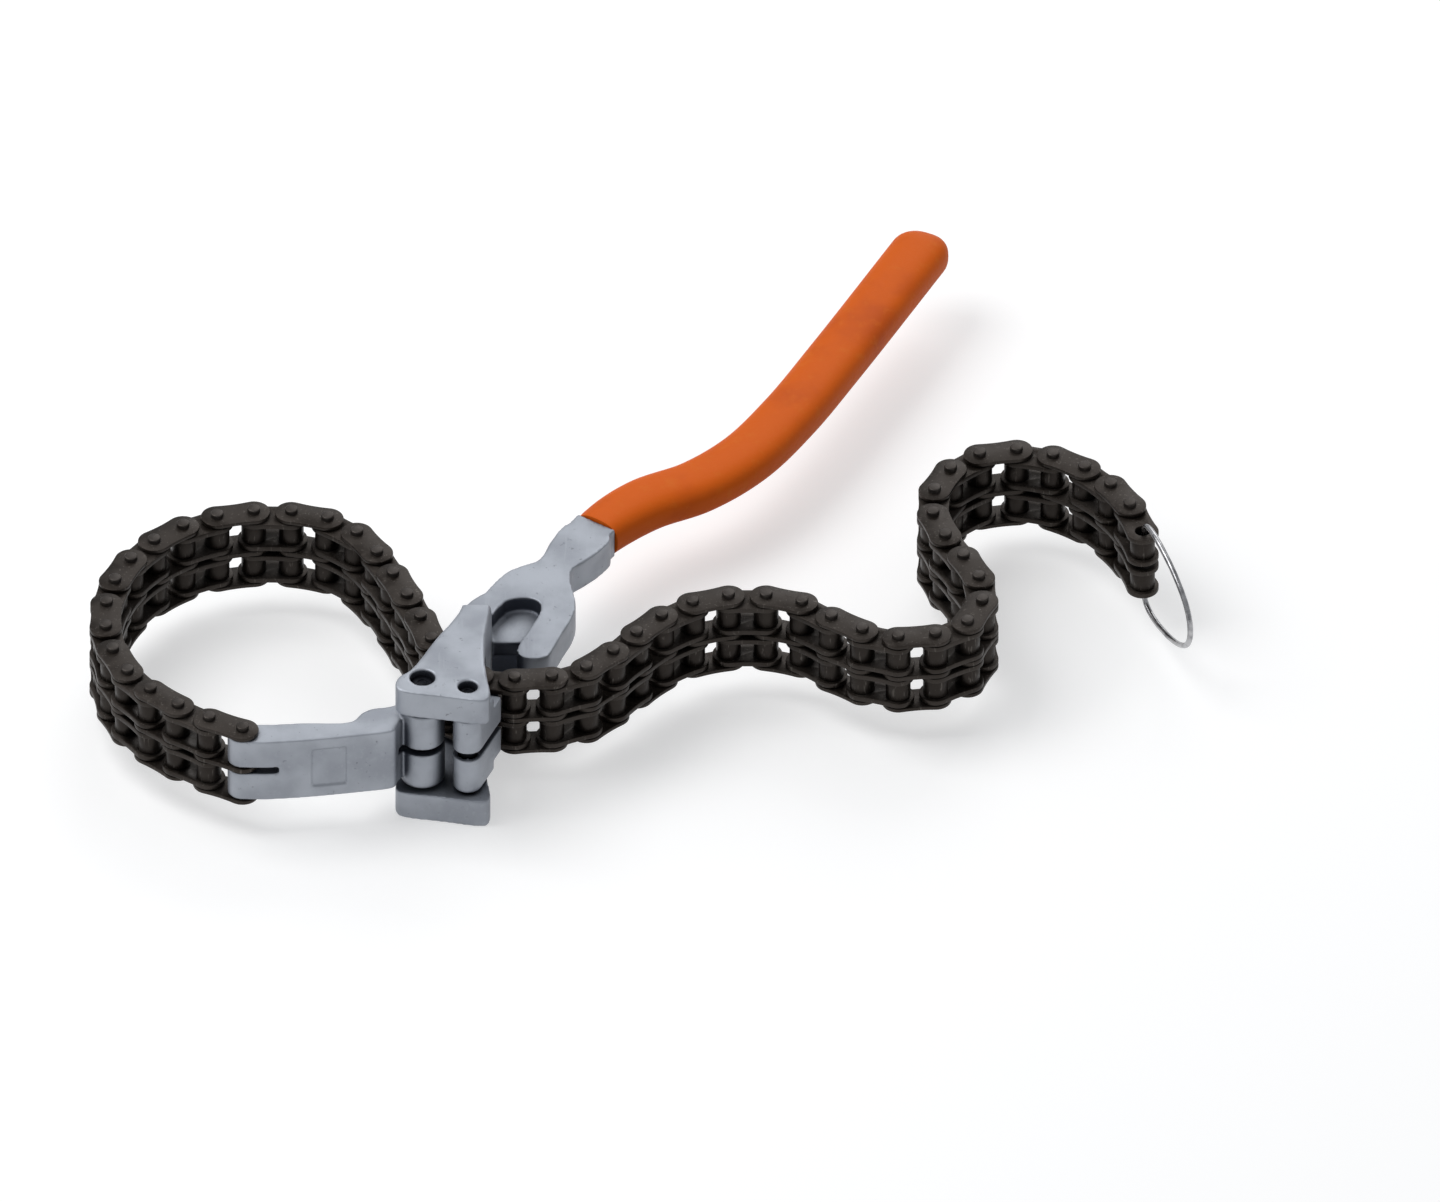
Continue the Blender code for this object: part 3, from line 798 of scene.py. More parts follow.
@dataclass(frozen=True)
class ChainSizes:
    """Duplex roller chain of 3/8 inch pitch."""

    pitch: float = 9.525 * MM
    strand_spacing: float = 10.24 * MM
    plate_radius: float = 4.13 * MM
    plate_waist: float = 3.85 * MM
    inner_plate: float = 1.4 * MM
    outer_plate: float = 1.04 * MM
    middle_plate: float = 1.3 * MM
    roller_width: float = 5.72 * MM
    roller_radius: float = 3.175 * MM
    bush_radius: float = 2.4 * MM
    pin_radius: float = 1.64 * MM
    pin_length: float = 23.8 * MM
    plate_gap: float = 0.3 * MM
    roller_play: float = 0.1 * MM
    edge: float = 0.16 * MM

    @property
    def strand_reach(self) -> float:
        """Half the height over both strands' inner plates."""
        return self.strand_spacing / 2 + self.roller_width / 2 + self.inner_plate

    @property
    def bore_radius(self) -> float:
        """Radius of a bore that turns on a pin."""
        return self.pin_radius + CLEARANCE

    def plate_outline(self) -> list[Vector]:
        """Figure-of-eight plate: two round ends and a waist tangent to both.

        Returns:
            The closed outline, from pin to pin.
        """
        half = self.pitch / 2
        radius, waist = self.plate_radius, self.plate_waist
        hollow = (half**2 + waist**2 - radius**2) / (2 * (radius - waist))
        lean = math.asin(half / (radius + hollow))
        quarter = math.pi / 2
        near, far = Vector((0, 0)), Vector((self.pitch, 0))
        above = Vector((half, waist + hollow))
        below = Vector((half, -waist - hollow))
        return [
            *arc(far, radius, -quarter - lean, quarter + lean, 20)[1:-1],
            *arc(above, hollow, -quarter + lean, -quarter - lean, 8),
            *arc(near, radius, quarter - lean, 3 * quarter + lean, 20)[1:-1],
            *arc(below, hollow, quarter + lean, quarter - lean, 8),
        ]


@dataclass
class Wrench:
    """What every sub-assembly shares: the frame's places, the finishes and the pieces made."""

    joints: Mapping[str, Mapping[str, Any]]
    palette: Palette
    chain: ChainSizes = field(default_factory=ChainSizes)
    made: list[str] = field(default_factory=list)
    held_link: int = 24
    arm_pin_radius: float = 2.9 * MM
    claw_pin_radius: float = 2.2 * MM

    @property
    def arm_axis(self) -> Vector:
        """Plan place of the arm's pivot, where the plan's own origin lies."""
        return Vector(self.joints["arm_swing"]["pos_m"][:2])

    @property
    def claw_axis(self) -> Vector:
        """Claw's pivot, from the arm's pivot."""
        return Vector(self.joints["claw_release"]["pos_m"][:2]) - self.arm_axis

    def pins(self) -> dict[str, tuple[Vector, float]]:
        """Axis and radius of the fork's two pins, by their CAD node."""
        return {
            "arm_pin": (Vector((0, 0)), self.arm_pin_radius),
            "claw_pin": (self.claw_axis, self.claw_pin_radius),
        }

    def pivots(self) -> list[Vector]:
        """Plan places of the chain's pivots, from the arm's end to the ring.

        Returns:
            One place for each end of a link. The loop is open at one pivot in the frame, and
            that one stands a pitch from both its neighbours, away from the loop's middle.
        """
        places = {
            int(name.split("_")[1]): Vector(joint["pos_m"][:2])
            for name, joint in self.joints.items()
            if name.startswith("pivot_")
        }
        last = max(places) + 1
        places[last] = Vector(self.joints["ring_swing"]["pos_m"][:2])
        loop = [place for number, place in places.items() if number < self.held_link]
        middle = sum(loop, Vector((0, 0))) / len(loop)
        for number in set(range(last)) - set(places):
            before, after = places[number - 1], places[number + 1]
            halfway = (before + after) / 2
            rise = math.sqrt(self.chain.pitch**2 - (after - before).length_squared / 4)
            outward = left_of(after - before)
            if outward.dot(halfway - middle) < 0:
                outward = -outward
            places[number] = halfway + rise * outward
        return [places[number] for number in range(last + 1)]

    def add(self, piece: Workpiece, body: str, slot: Slot, node: str) -> None:
        """Hand a finished piece to the frame.

        Args:
            piece: The piece, in its place.
            body: The CAD body that it moves with.
            slot: The record's finish. Not used.
            node: The CAD node that it stands for.
        """
        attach(piece.thing, body)
        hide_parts(node)
        self.made.append(piece.thing.name)
        LOG.info("%s rides on %s", piece.thing.name, body)

    def settle(self, piece: Workpiece, material: bpy.types.Material, angle: float = 50.0) -> Workpiece:
        """Move a piece from the plan round the arm's pivot to the frame, and finish its surface."""
        return piece.transform(Matrix.Translation(self.arm_axis.to_3d())).smooth(angle).dress(material)


@dataclass
class SubAssembly(ABC):
    """Pieces of the wrench that are made together."""

    wrench: Wrench

    @abstractmethod
    def build(self) -> None:
        """Make the pieces and hand them over."""


@dataclass(frozen=True)
class HandleRoute:
    """The bar from the fork to the handle's end, bent in plan."""

    stations: Rows = (
        (37.4, 72.0), (45.5, 85.3), (56.4, 95.9), (69.6, 103.2),
        (81.8, 114.6), (92.9, 131.5), (104.9, 154.6), (125.9, 197.4),
    )
    grip_start: float = 13.6 * MM
    tang_overlap: float = 2.0 * MM
    end_cover: float = 6.0 * MM
    neck_width: float = 11.4 * MM
    neck_thickness: float = 8.6 * MM
    tang_width: float = 9.4 * MM
    tang_thickness: float = 5.6 * MM

    def path(self) -> Path:
        """The bar's middle line."""
        return Path(tuple(spline(in_metres(self.stations), samples=12)))

    def tang(self) -> Path:
        """Middle line of the tang, from just inside the neck to near the grip's end."""
        path = self.path()
        return path.before(path.length() - self.end_cover).after(self.grip_start - self.tang_overlap)

    @property
    def neck_levels(self) -> tuple[float, float]:
        """Heights of the neck's two faces."""
        return LEVELS.band(self.neck_thickness / 2)


@dataclass
class ForkForging(SubAssembly):
    """Cheeks, web, heel, neck and tang: one forging."""

    route: HandleRoute = field(default_factory=HandleRoute)
    cheek_outline: Rows = (
        (-6.9, -3.0), (-6.3, -4.9), (-4.4, -6.0), (5.0, -7.8), (14.4, -9.6), (16.4, -9.2),
        (17.2, -7.2), (16.4, 0.0), (15.7, 8.0), (15.8, 16.0), (17.0, 27.0), (17.6, 38.0),
        (17.2, 45.4), (21.0, 51.6), (20.0, 57.0), (16.0, 55.0), (10.4, 48.6), (9.4, 38.0),
        (10.0, 29.2), (3.0, 15.1), (-2.9, 3.4), (-6.2, 0.0),
    )
    heel_outline: Rows = (
        (23.9, 31.4), (24.8, 29.2), (26.8, 28.1), (30.2, 28.2), (32.0, 29.4), (33.2, 32.0),
        (35.6, 38.5), (38.0, 44.6), (38.9, 50.0), (38.2, 55.8), (37.5, 60.9), (38.2, 64.9),
        (40.8, 67.3), (45.1, 72.1), (47.8, 77.4), (42.4, 80.6), (37.4, 83.4), (32.2, 75.0),
        (30.9, 71.0), (29.0, 67.8), (25.6, 66.0), (21.6, 63.4), (16.8, 56.4), (14.0, 50.0),
        (17.2, 45.4), (20.4, 50.8), (23.6, 52.5), (27.2, 52.6), (29.6, 51.0), (29.9, 47.4),
        (27.2, 40.2),
    )
    relief_outline: Rows = (
        (16.8, 39.5), (27.6, 39.5), (30.8, 47.0), (30.0, 52.8), (20.6, 52.8), (16.4, 45.6),
    )
    relief_floor: float = 4.4 * MM
    low_ledge: Rows = ((15.5, 24.0), (20.5, 27.0), (24.0, 31.0), (26.0, 40.0), (26.0, 48.0), (15.5, 48.0))
    ledge_levels: tuple[float, float] = (4.0 * MM, 11.0 * MM)
    cheek_back: float = 29.5 * MM
    taper: float = 15.0 * MM
    reach: float = 90.0 * MM
    bend: Rows = (
        (-0.2, 36.0), (3.0, 25.6), (7.6, 17.6), (15.0, 12.9), (24.0, 11.7), (33.8, 12.7), (43.0, 17.2),
    )
    chain_to_web: float = 1.5 * MM
    pocket_front: float = 30.0 * MM
    cheek_rounding: float = 1.3 * MM
    tang_edge: float = 0.5 * MM
    voxel: float = 0.42 * MM
    smoothing: int = 5
    triangles: int = 110_000

    def side_profile(self) -> Workpiece:
        """Side view of the fork: full height at the cheeks, tapered back to the neck."""
        back = self.cheek_back + self.taper
        low, high = self.route.neck_levels
        corners = (
            (-self.reach, 0), (self.cheek_back, 0), (back, low), (self.reach, low),
            (self.reach, high), (back, high), (self.cheek_back, LEVELS.top), (-self.reach, LEVELS.top),
        )
        piece = Workpiece.plate("side profile", [*map(Vector, corners)], -self.reach, self.reach)
        stood_up = Matrix(((0, 0, 1, 0), (1, 0, 0, 0), (0, 1, 0, 0), (0, 0, 0, 1)))
        return piece.transform(stood_up)

    def pocket(self) -> Workpiece:
        """Room between the cheeks, in front of a line just behind the chain's route."""
        bend = Path(tuple(spline(in_metres(self.bend), samples=4)))
        back = bend.beside(self.wrench.chain.plate_radius + self.chain_to_web)
        right, left = back[-1].x, -self.pocket_front
        corners = ((right, -self.pocket_front), (left, -self.pocket_front), (left, back[0].y))
        return Workpiece.plate("pocket", [*back, *map(Vector, corners)], *LEVELS.cheeks_inside)

    def build(self) -> None:
        """Make the forging and hand it over."""
        low, high = self.route.neck_levels
        cheeks = spline(in_metres(self.cheek_outline), samples=5, closed=True)
        back = spline(in_metres(self.heel_outline), samples=4, closed=True)
        piece = Workpiece.plate("forged_fork", cheeks, -OVERSHOOT, LEVELS.top + OVERSHOOT)
        piece.combine(Cut.COMMON, self.side_profile())
        piece.round_edges(self.cheek_rounding, segments=3, angle=60)
        heel = Workpiece.plate("heel", back, low, high)
        floor = Workpiece.plate("relief floor", in_metres(self.relief_outline), low, low + self.relief_floor)
        neck_path = self.route.path().before(self.route.grip_start - CLEARANCE / 2)
        neck = Workpiece.plate("neck", neck_path.ribbon(self.route.neck_width / 2), low, high)
        ledge = Workpiece.plate("low ledge", in_metres(self.low_ledge), *self.ledge_levels)
        piece.combine(Cut.WELD, heel, floor, ledge, neck)
        holes = [
            Workpiece.drill(centre, radius + CLEARANCE, 0, LEVELS.top)
            for centre, radius in self.wrench.pins().values()
        ]
        piece.combine(Cut.AWAY, self.pocket(), *holes)
        piece.forge(self.voxel, self.smoothing, self.triangles)
        outline = self.route.tang().ribbon(self.route.tang_width / 2, round_end=True)
        tang = Workpiece.plate("tang", outline, *LEVELS.band(self.route.tang_thickness / 2))
        piece.join(tang.round_edges(self.tang_edge))
        self.wrench.settle(piece, self.wrench.palette.forged)
        self.wrench.add(piece, "handle", Slot.FORGED_STEEL, "handle_fork")


@dataclass
class ForkPins(SubAssembly):
    """The two pins that go through both cheeks, their ends just below the faces."""

    recess: float = 1.8 * MM
    chamfer: float = 0.35 * MM
    dimple_share: float = 0.45
    dimple_depth: float = 0.25 * MM

    def pin(self, name: str, centre: Vector, radius: float) -> Workpiece:
        """One pin with chamfered ends and a centre mark in each.

        Args:
            name: Name of the piece.
            centre: Its axis, from the arm's pivot.
            radius: Its radius.

        Returns:
            The finished pin.
        """
        low, high = self.recess, LEVELS.top - self.recess
        piece = Workpiece.rod(name, centre, radius, low, high, sides=40)
        for end, inward in ((low, 1), (high, -1)):
            mark = Workpiece.drill(centre, radius * self.dimple_share, end, end, sides=24)
            mark.transform(Matrix.Translation((0, 0, inward * (self.dimple_depth - OVERSHOOT))))
            piece.combine(Cut.AWAY, mark)
        piece.round_edges(self.chamfer / 2, segments=2, angle=40)
        return self.wrench.settle(piece, self.wrench.palette.pin, angle=35)

    def build(self) -> None:
        """Make both pins."""
        for node, (centre, radius) in self.wrench.pins().items():
            piece = self.pin(f"turned_{node}", centre, radius)
            self.wrench.add(piece, "handle", Slot.PIN_STEEL, node)


@dataclass
class VinylGrip(SubAssembly):
    """Dipped sleeve over the tang, closed and round at its far end.

    Its section is a rounded oval that is swept along the bar and shrinks to a dome at the end.
    """

    route: HandleRoute = field(default_factory=HandleRoute)
    width: float = 15.2 * MM
    start_width: float = 12.8 * MM
    flare_length: float = 22.0 * MM
    thickness: float = 10.2 * MM
    squareness: float = 2.7
    section_points: int = 40
    dome_steps: int = 14
    rim: float = 0.8 * MM

    def section(self) -> Workpiece:
        """Rounded oval that is swept along the bar."""
        power = 2 / self.squareness
        points = []
        for number in range(self.section_points):
            across = heading(2 * math.pi * number / self.section_points)
            x = math.copysign(abs(across.x) ** power, across.x) * self.width / 2
            y = math.copysign(abs(across.y) ** power, across.y) * self.thickness / 2
            points.append(Vector((x, y, 0)))
        return Workpiece.line("oval", points, closed=True)

    @staticmethod
    def keep_thickness(piece: Workpiece, places: Sequence[Vector], shares: Sequence[float]) -> None:
        """Stretch the sweep upright where it is narrow, so that only its width flares.

        Args:
            piece: The swept sleeve.
            places: Points of its middle line.
            shares: Part of the full section at each point.
        """
        for vertex in piece.thing.data.vertices:
            spot = vertex.co
            away = [math.hypot(place.x - spot.x, place.y - spot.y) for place in places]
            spot.z = LEVELS.middle + (spot.z - LEVELS.middle) / shares[away.index(min(away))]

    def build(self) -> None:
        """Sweep the sleeve and cut its hollow."""
        sleeve = self.route.path().after(self.route.grip_start)
        places, shares = [], []
        for number, place in enumerate(sleeve.points):
            along = min(1.0, Path(sleeve.points[:number + 1]).length() / self.flare_length)
            start_share = self.start_width / self.width
            places.append(place)
            shares.append(start_share + (1 - start_share) * along * (2 - along))
        tip = sleeve.points[-1]
        onward = (tip - sleeve.points[-2]).normalized()
        for number in range(1, self.dome_steps):
            lean = math.pi / 2 * number / self.dome_steps
            places.append(tip + onward * self.width / 2 * math.sin(lean))
            shares.append(math.cos(lean))
        bar = [Vector((place.x, place.y, LEVELS.middle)) for place in places]
        section = self.section()
        piece = Workpiece.line("vinyl_grip", bar, shares=shares)
        curve = piece.thing.data
        curve.twist_mode = "Z_UP"
        curve.bevel_mode = "OBJECT"
        curve.bevel_object = section.thing
        curve.use_fill_caps = True
        piece.to_mesh()
        section.discard()
        self.keep_thickness(piece, sleeve.points, shares)
        piece.round_edges(self.rim, segments=3, angle=60)
        outline = self.route.tang().ribbon(self.route.tang_width / 2 + CLEARANCE, round_end=True)
        levels = LEVELS.band(self.route.tang_thickness / 2 + CLEARANCE)
        piece.combine(Cut.AWAY, Workpiece.plate("hollow", outline, *levels))
        self.wrench.settle(piece, self.wrench.palette.vinyl, angle=45)
        self.wrench.add(piece, "handle", Slot.VINYL, "grip")


@dataclass
class AnchorArm(SubAssembly):
    """Forged arm from the fork's pivot to the first link, slotted at both ends."""

    hub_radius: float = 5.7 * MM
    hub_side_clearance: float = 0.8 * MM
    hub_edge: float = 1.0 * MM
    end: tuple[float, float] = (-45.7, -8.9)
    end_radius: float = 3.8 * MM
    end_angles: tuple[float, float] = (math.radians(100), math.radians(262))
    outline: Rows = (
        (-40.0, -12.8), (-30.0, -11.9), (-15.0, -9.6), (-8.6, -8.4), (-7.0, -7.6), (-6.2, -5.4),
        (-3.6, -2.0), (3.0, 0.0), (-1.0, 5.4), (-5.2, 3.6), (-8.6, 2.0), (-12.8, 1.2),
        (-15.4, -0.6), (-18.0, -4.0), (-30.0, -4.6), (-38.0, -5.2),
    )
    slot_height: float = 2.0 * MM
    end_slot: float = 9.2 * MM
    hub_slot: float = 11.8 * MM
    panel_middle: tuple[float, float] = (-23.6, -11.2)
    panel_length: float = 9.0 * MM
    panel_height: float = 12.0 * MM
    panel_depth: float = 0.5 * MM
    voxel: float = 0.3 * MM
    smoothing: int = 8
    triangles: int = 90_000

    def slot(self, start: float, end: float) -> Workpiece:
        """Cutter for a level slot between two places along X, open at both sides."""
        wide = 4 * self.hub_radius
        corners = ((start, -wide), (end, -wide), (end, wide), (start, wide))
        return Workpiece.plate("slot", [*map(Vector, corners)], *LEVELS.band(self.slot_height / 2))

    def panel(self) -> Workpiece:
        """Cutter for the shallow plain panel on the front face."""
        start, finish = in_metres(self.outline[1:3])
        along = (finish - start).normalized()
        outward = -left_of(along)
        middle = start + along * (Vector(self.panel_middle) * MM - start).dot(along)
        corners = [
            middle + along * x * self.panel_length / 2 + outward * y * self.panel_depth
            for x, y in ((-1, 3), (-1, -1), (1, -1), (1, 3))
        ]
        return Workpiece.plate("panel", corners, *LEVELS.band(self.panel_height / 2))

    def build(self) -> None:
        """Make the arm and hand it over."""
        end = Vector(self.end) * MM
        beyond = 4 * self.hub_radius
        nose = arc(end, self.end_radius, *self.end_angles, steps=16)
        outline = [*spline(in_metres(self.outline), samples=4), *nose]
        piece = Workpiece.plate("forged_arm", outline, *LEVELS.band(self.wrench.chain.strand_reach))
        levels = LEVELS.band(LEVELS.cheek_gap / 2 - self.hub_side_clearance)
        hub = Workpiece.rod("hub", Vector((0, 0)), self.hub_radius, *levels, sides=64)
        piece.combine(Cut.WELD, hub.round_edges(self.hub_edge, segments=3, angle=60))
        piece.combine(
            Cut.AWAY,
            self.slot(end.x - beyond, end.x + self.end_slot),
            self.slot(self.hub_radius - self.hub_slot, beyond),
            self.panel(),
            Workpiece.drill(end, self.wrench.chain.bore_radius, 0, LEVELS.top, sides=32),
            Workpiece.drill(Vector((0, 0)), self.wrench.arm_pin_radius + CLEARANCE, 0, LEVELS.top),
        )
        piece.forge(self.voxel, self.smoothing, self.triangles)
        self.wrench.settle(piece, self.wrench.palette.forged)
        self.wrench.add(piece, "arm", Slot.FORGED_STEEL, "anchor_arm")


@dataclass(frozen=True)
class LinkSpot:
    """Plan directions at a link's middle: along the link, and out of its front."""

    middle: Vector
    along: Vector
    front: Vector

    @classmethod
    def between(cls, start: Vector, end: Vector) -> LinkSpot:
        """The spot of the link from one pivot to the next."""
        along = (end - start).normalized()
        return cls(start.lerp(end, 0.5), along, -left_of(along))

    def places(self, *offsets: tuple[float, float]) -> list[Vector]:
        """Plan places of offsets, each one out of the front and along the link."""
        return [self.middle + self.front * out + self.along * side for out, side in offsets]

    def box(self, out: float, half_width: float) -> list[Vector]:
        """Outline from the link's middle line out to a distance."""
        return self.places((0, -half_width), (out, -half_width), (out, half_width), (0, half_width))


@dataclass
class Claw(SubAssembly):
    """Hub and nose whose two teeth stand between the rollers of the held link."""

    hub_radius: float = 3.8 * MM
    side_clearance: float = 0.8 * MM
    nose_width: float = 5.0 * MM
    nose_gap: float = 0.9 * MM
    tooth_height: float = 4.8 * MM
    tooth_root: float = 4.4 * MM
    tooth_tip: float = 1.6 * MM
    tip_to_middle: float = 2.1 * MM
    slot_height: float = 2.4 * MM
    slot_depth: float = 9.0 * MM
    groove_depth: float = 1.3 * MM
    edge: float = 1.0 * MM
    nose_shoulder: float = 3.2 * MM
    shoulder_start: float = 5.0 * MM
    voxel: float = 0.25 * MM
    smoothing: int = 7
    triangles: int = 50_000

    def groove(self, axis: Vector) -> Workpiece:
        """Ring-shaped cutter that parts the hub into two barrels at mid height."""
        low, high = LEVELS.band(self.slot_height / 2)
        ring = Workpiece.rod("groove", axis, 2 * self.hub_radius, low, high, sides=48)
        return ring.combine(Cut.AWAY, Workpiece.drill(axis, self.hub_radius - self.groove_depth, low, high))

    def build(self) -> None:
        """Make the claw and hand it over."""
        held = self.wrench.held_link
        pivots = [place - self.wrench.arm_axis for place in self.wrench.pivots()]
        spot = LinkSpot.between(pivots[held - 1], pivots[held])
        reach = self.wrench.chain.plate_radius + self.nose_gap
        axis = self.wrench.claw_axis
        toward = spot.middle - axis
        turn = math.atan2(toward.y, toward.x)
        hub = arc(axis, self.hub_radius, turn + math.pi / 2, turn + 3 * math.pi / 2, CAP_STEPS)
        nose = spot.places((reach, self.nose_width / 2), (reach, -self.nose_width / 2))
        half = LEVELS.cheek_gap / 2 - self.side_clearance
        piece = Workpiece.plate("forged_claw", [*hub, *nose], *LEVELS.band(half))
        piece.round_edges(self.edge, segments=3, angle=60)
        root, tip = self.tooth_root / 2, self.tooth_tip / 2
        inside = reach + OVERSHOOT
        tooth = spot.places(
            (inside, -root), (inside, root), (self.tip_to_middle, tip), (self.tip_to_middle, -tip)
        )
        spacing = self.wrench.chain.strand_spacing
        for strand in (-spacing / 2, spacing / 2):
            low = LEVELS.middle + strand - self.tooth_height / 2
            piece.combine(Cut.WELD, Workpiece.plate("tooth", tooth, low, low + self.tooth_height))
        slot = spot.box(reach + self.slot_depth, self.nose_width)
        shoulder = spot.box(reach + self.shoulder_start, 2 * self.hub_radius)
        ledge_low, ledge_high = LEVELS.band(half - self.nose_shoulder)
        piece.combine(
            Cut.AWAY,
            Workpiece.plate("slot", slot, *LEVELS.band(self.slot_height / 2)),
            Workpiece.plate("upper shoulder", shoulder, ledge_high, LEVELS.top),
            Workpiece.plate("lower shoulder", shoulder, 0, ledge_low),
            self.groove(axis),
            Workpiece.drill(axis, self.wrench.claw_pin_radius + CLEARANCE, 0, LEVELS.top, sides=40),
        )
        piece.forge(self.voxel, self.smoothing, self.triangles)
        self.wrench.settle(piece, self.wrench.palette.forged)
        self.wrench.add(piece, "claw", Slot.FORGED_STEEL, "claw")


@dataclass
class DuplexChain(SubAssembly):
    """Fifty-two links on the frame's pivots, modelled twice and copied."""

    bore_sides: int = 20
    round_sides: int = 28
    rivet_edge: float = 0.3 * MM

    def side_plate(self, low: float, high: float, bored: bool) -> Workpiece:
        """One figure-of-eight plate with soft edges.

        Args:
            low: Height of its underside.
            high: Height of its top.
            bored: Whether it has a bore at each end.

        Returns:
            The plate, from pin to pin.
        """
        sizes = self.wrench.chain
        piece = Workpiece.plate("side plate", sizes.plate_outline(), low, high)
        if bored:
            for x in (0, sizes.pitch):
                axis = Vector((x, 0))
                piece.combine(Cut.AWAY, Workpiece.drill(axis, sizes.bore_radius, low, high, self.bore_sides))
        return piece.round_edges(sizes.edge, angle=45).dress(self.wrench.palette.chain)

    def rivet(self, x: float) -> Workpiece:
        """A pin with its ends peened over."""
        half = self.wrench.chain.pin_length / 2
        radius = self.wrench.chain.pin_radius
        piece = Workpiece.rod("rivet", Vector((x, 0)), radius, -half, half, self.bore_sides)
        return piece.round_edges(self.rivet_edge, segments=3, angle=45).dress(self.wrench.palette.rivet)

    def tube(self, x: float, radius: float, low: float, high: float, inner: float) -> Workpiece:
        """A roller or a bush.

        Args:
            x: Place of its axis along the link.
            radius: Outer radius.
            low: Height of its lower end.
            high: Height of its upper end.
            inner: Radius of its bore.

        Returns:
            The tube.
        """
        piece = Workpiece.rod("tube", Vector((x, 0)), radius, low, high, self.round_sides)
        piece.combine(Cut.AWAY, Workpiece.drill(Vector((x, 0)), inner, low, high, self.bore_sides))
        return piece.round_edges(self.wrench.chain.edge, angle=45).dress(self.wrench.palette.roller)

    def outer_link(self) -> Workpiece:
        """Two outer plates and the middle plate on two rivets."""
        sizes = self.wrench.chain
        inner_face = sizes.strand_reach + sizes.plate_gap
        outer_face = inner_face + sizes.outer_plate
        half_middle = sizes.middle_plate / 2
        piece = self.side_plate(inner_face, outer_face, False)
        piece.join(
            self.side_plate(-outer_face, -inner_face, False),
            self.side_plate(-half_middle, half_middle, False),
            self.rivet(0),
            self.rivet(sizes.pitch),
        )
        return piece

    def inner_link(self) -> Workpiece:
        """Both strands' inner plates, with a bush and a roller at each pin."""
        sizes = self.wrench.chain
        parts = []
        for middle in (-sizes.strand_spacing / 2, sizes.strand_spacing / 2):
            low, high = middle - sizes.roller_width / 2, middle + sizes.roller_width / 2
            parts.append(self.side_plate(low - sizes.inner_plate, low, True))
            parts.append(self.side_plate(high, high + sizes.inner_plate, True))
            seat = sizes.inner_plate / 2
            play = sizes.roller_play
            for x in (0, sizes.pitch):
                parts.append(self.tube(x, sizes.bush_radius, low - seat, high + seat, sizes.bore_radius))
                parts.append(self.tube(x, sizes.roller_radius, low + play, high - play, sizes.bush_radius))
        return parts[0].join(*parts[1:])

    def build(self) -> None:
        """Copy the two links along the chain."""
        masters = {1: self.outer_link().smooth(), 0: self.inner_link().smooth()}
        pivots = self.wrench.pivots()
        for number, (start, end) in enumerate(zip(pivots, pivots[1:]), 1):
            along = end - start
            place = Matrix.Translation((start.x, start.y, LEVELS.middle))
            turn = Matrix.Rotation(math.atan2(along.y, along.x), 4, "Z")
            kind = "outer_link" if number % 2 else "inner_link"
            piece = masters[number % 2].copy(f"riveted_{kind}_{number:02d}", place @ turn)
            body = "handle" if number == self.wrench.held_link else f"link_{number:02d}"
            self.wrench.add(piece, body, Slot.CHAIN_STEEL, f"{kind}_{number:02d}")
        for master in masters.values():
            master.discard()


@dataclass
class EndRing(SubAssembly):
    """Closed wire loop through the last link's bore."""

    wire_radius: float = 0.75 * MM
    turn: float = math.radians(3)
    half_outline: Rows = (
        (0.0, 0.0), (0.0, 5.0), (0.0, 9.6), (1.2, 12.2), (3.8, 13.4), (8.0, 13.6),
        (13.0, 12.9), (19.0, 11.4), (24.8, 8.8), (28.8, 5.6), (30.6, 2.0),
    )

    def build(self) -> None:
        """Bend the wire and hand it over."""
        half = in_metres(self.half_outline)
        mirrored = [Vector((p.x, -p.y)) for p in reversed(half[1:])]
        lean = self.wrench.chain.pin_radius - self.wire_radius
        bends = spline([*half, *mirrored], samples=6, closed=True)
        piece = Workpiece.line("wire_ring", [Vector((p.x + lean, 0, p.y)) for p in bends], closed=True)
        piece.thing.data.bevel_depth = self.wire_radius
        piece.thing.data.bevel_resolution = 4
        piece.to_mesh()
        pivots = self.wrench.pivots()
        last = pivots[-1] - pivots[-2]
        angle = math.atan2(last.y, last.x) + self.turn
        place = Matrix.Translation((pivots[-1].x, pivots[-1].y, LEVELS.middle))
        piece.transform(place @ Matrix.Rotation(angle, 4, "Z")).smooth(60).dress(self.wrench.palette.wire)
        self.wrench.add(piece, "ring", Slot.WIRE, "end_ring")


@dataclass(frozen=True)
class Lamp:
    """A square soft light: its name, place, side and power in watts."""

    name: str
    place: tuple[float, float, float]
    size: float
    power: float

    def hang(self) -> None:
        """Hang the lamp and aim it at the frame's origin."""
        data = bpy.data.lights.new(self.name, "AREA")
        data.size = self.size
        data.energy = self.power
        lamp = bpy.data.objects.new(self.name, data)
        bpy.context.scene.collection.objects.link(lamp)
        lamp.location = self.place
        lamp.rotation_mode = "QUATERNION"
        lamp.rotation_quaternion = (-Vector(self.place)).to_track_quat("-Z", "Y")


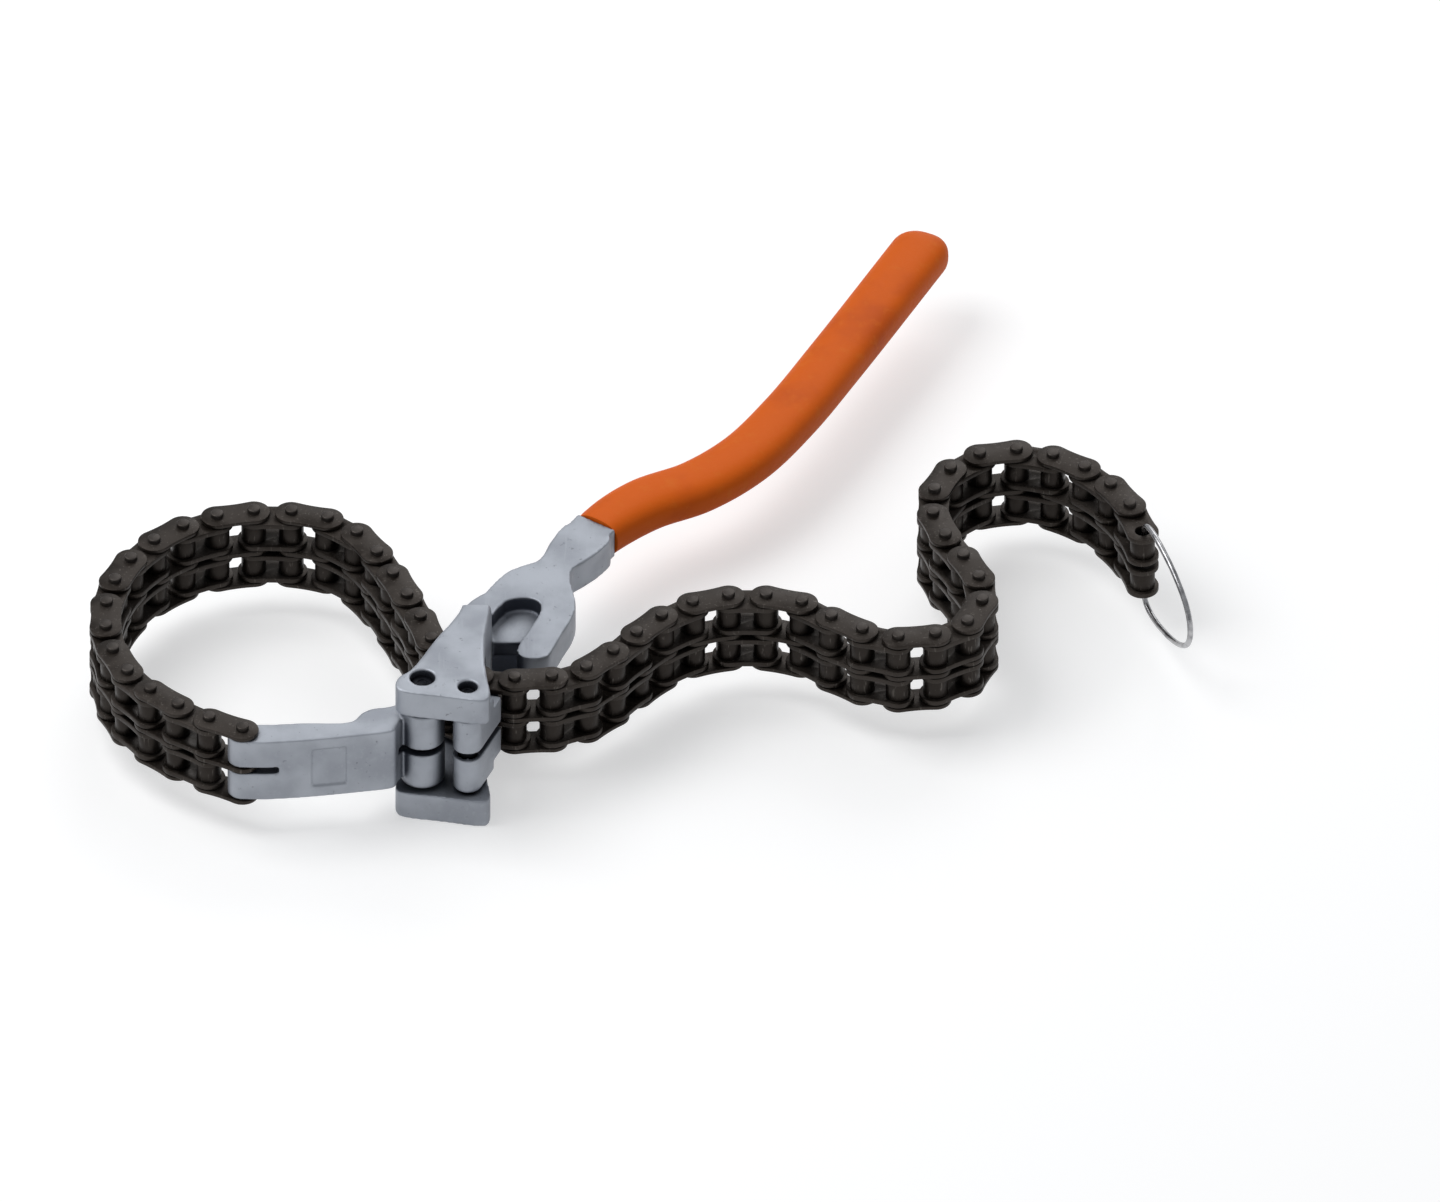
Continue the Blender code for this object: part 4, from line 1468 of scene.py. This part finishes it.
@dataclass(frozen=True)
class Studio:
    """Pale floor, soft light and the photograph's viewing angle."""

    arm_axis: Vector
    image: tuple[int, int] = (1440, 1202)
    pixels_per_mm: float = 3.94
    elevation: float = math.radians(38.5)
    aim: tuple[float, float] = (75.5, 82.5)
    distance: float = 1.2
    floor_size: float = 6.0
    floor_white: float = 0.66
    floor_glow: float = 0.45
    room_light: float = 0.45
    room_tint: Colour = (0.95, 0.97, 1.0)
    lamps: tuple[Lamp, ...] = (
        Lamp("key", place=(-0.65, 0.1, 1.1), size=0.8, power=8.0),
        Lamp("back", place=(0.30, 1.1, 0.8), size=0.8, power=4.0),
    )

    def camera(self) -> None:
        """Orthographic camera that looks along +Y and down."""
        data = bpy.data.cameras.new("photo view")
        data.type = "ORTHO"
        data.ortho_scale = max(self.image) / self.pixels_per_mm * MM
        camera = bpy.data.objects.new("photo view", data)
        bpy.context.scene.collection.objects.link(camera)
        looking = Vector((0, math.cos(self.elevation), -math.sin(self.elevation)))
        aim = (self.arm_axis + Vector(self.aim) * MM).to_3d()
        camera.location = aim - looking * self.distance
        camera.rotation_euler = (math.pi / 2 - self.elevation, 0, 0)
        bpy.context.scene.camera = camera

    def seen(self, graph: Graph) -> Wire:
        """1 on rays from the camera, a reflection or glass, and 0 on those that only carry light."""
        kinds = ("Is Camera Ray", "Is Glossy Ray", "Is Transmission Ray")
        camera, glossy, through = (graph.node("ShaderNodeLightPath", output=kind) for kind in kinds)
        return camera + glossy + through

    def floor(self) -> None:
        """Plain floor that looks white to the camera and keeps the wrench's shadow."""
        bpy.ops.mesh.primitive_plane_add(size=self.floor_size, location=(0, 0, 0))
        floor = Workpiece(bpy.context.object, "floor")
        graph = Graph.surface("pale floor")
        graph.finish(
            Base_Color=(*(self.floor_white,) * 3, 1.0),
            Roughness=0.9,
            Specular_IOR_Level=0.1,
            Emission_Color=(1.0, 1.0, 1.0, 1.0),
            Emission_Strength=self.seen(graph) * self.floor_glow,
        )
        floor.dress(graph.owner)

    def sky(self) -> None:
        """Even pale surroundings."""
        graph = Graph(bpy.data.worlds.new("soft room"), "Background")
        camera = graph.node("ShaderNodeLightPath", output="Is Camera Ray")
        strength = self.room_light + camera * (1.0 - self.room_light)
        bpy.context.scene.world = graph.finish(Color=(*self.room_tint, 1.0), Strength=strength)

    def build(self) -> None:
        """Set up the whole studio."""
        self.camera()
        self.floor()
        self.sky()
        for lamp in self.lamps:
            lamp.hang()
        bpy.context.scene.view_settings.view_transform = "Standard"


def main() -> None:
    """Build the wrench round the frame."""
    logging.basicConfig(level=logging.INFO, format="%(name)s: %(message)s")
    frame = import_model()
    joints = {joint["name"]: joint for joint in frame["joints"]}
    wrench = Wrench(joints, Palette.mixed())
    Studio(wrench.arm_axis).build()
    for kind in (ForkForging, ForkPins, VinylGrip, AnchorArm, Claw, DuplexChain, EndRing):
        kind(wrench).build()
    LOG.info("%d pieces", len(wrench.made))


if __name__ == "__main__":
    main()
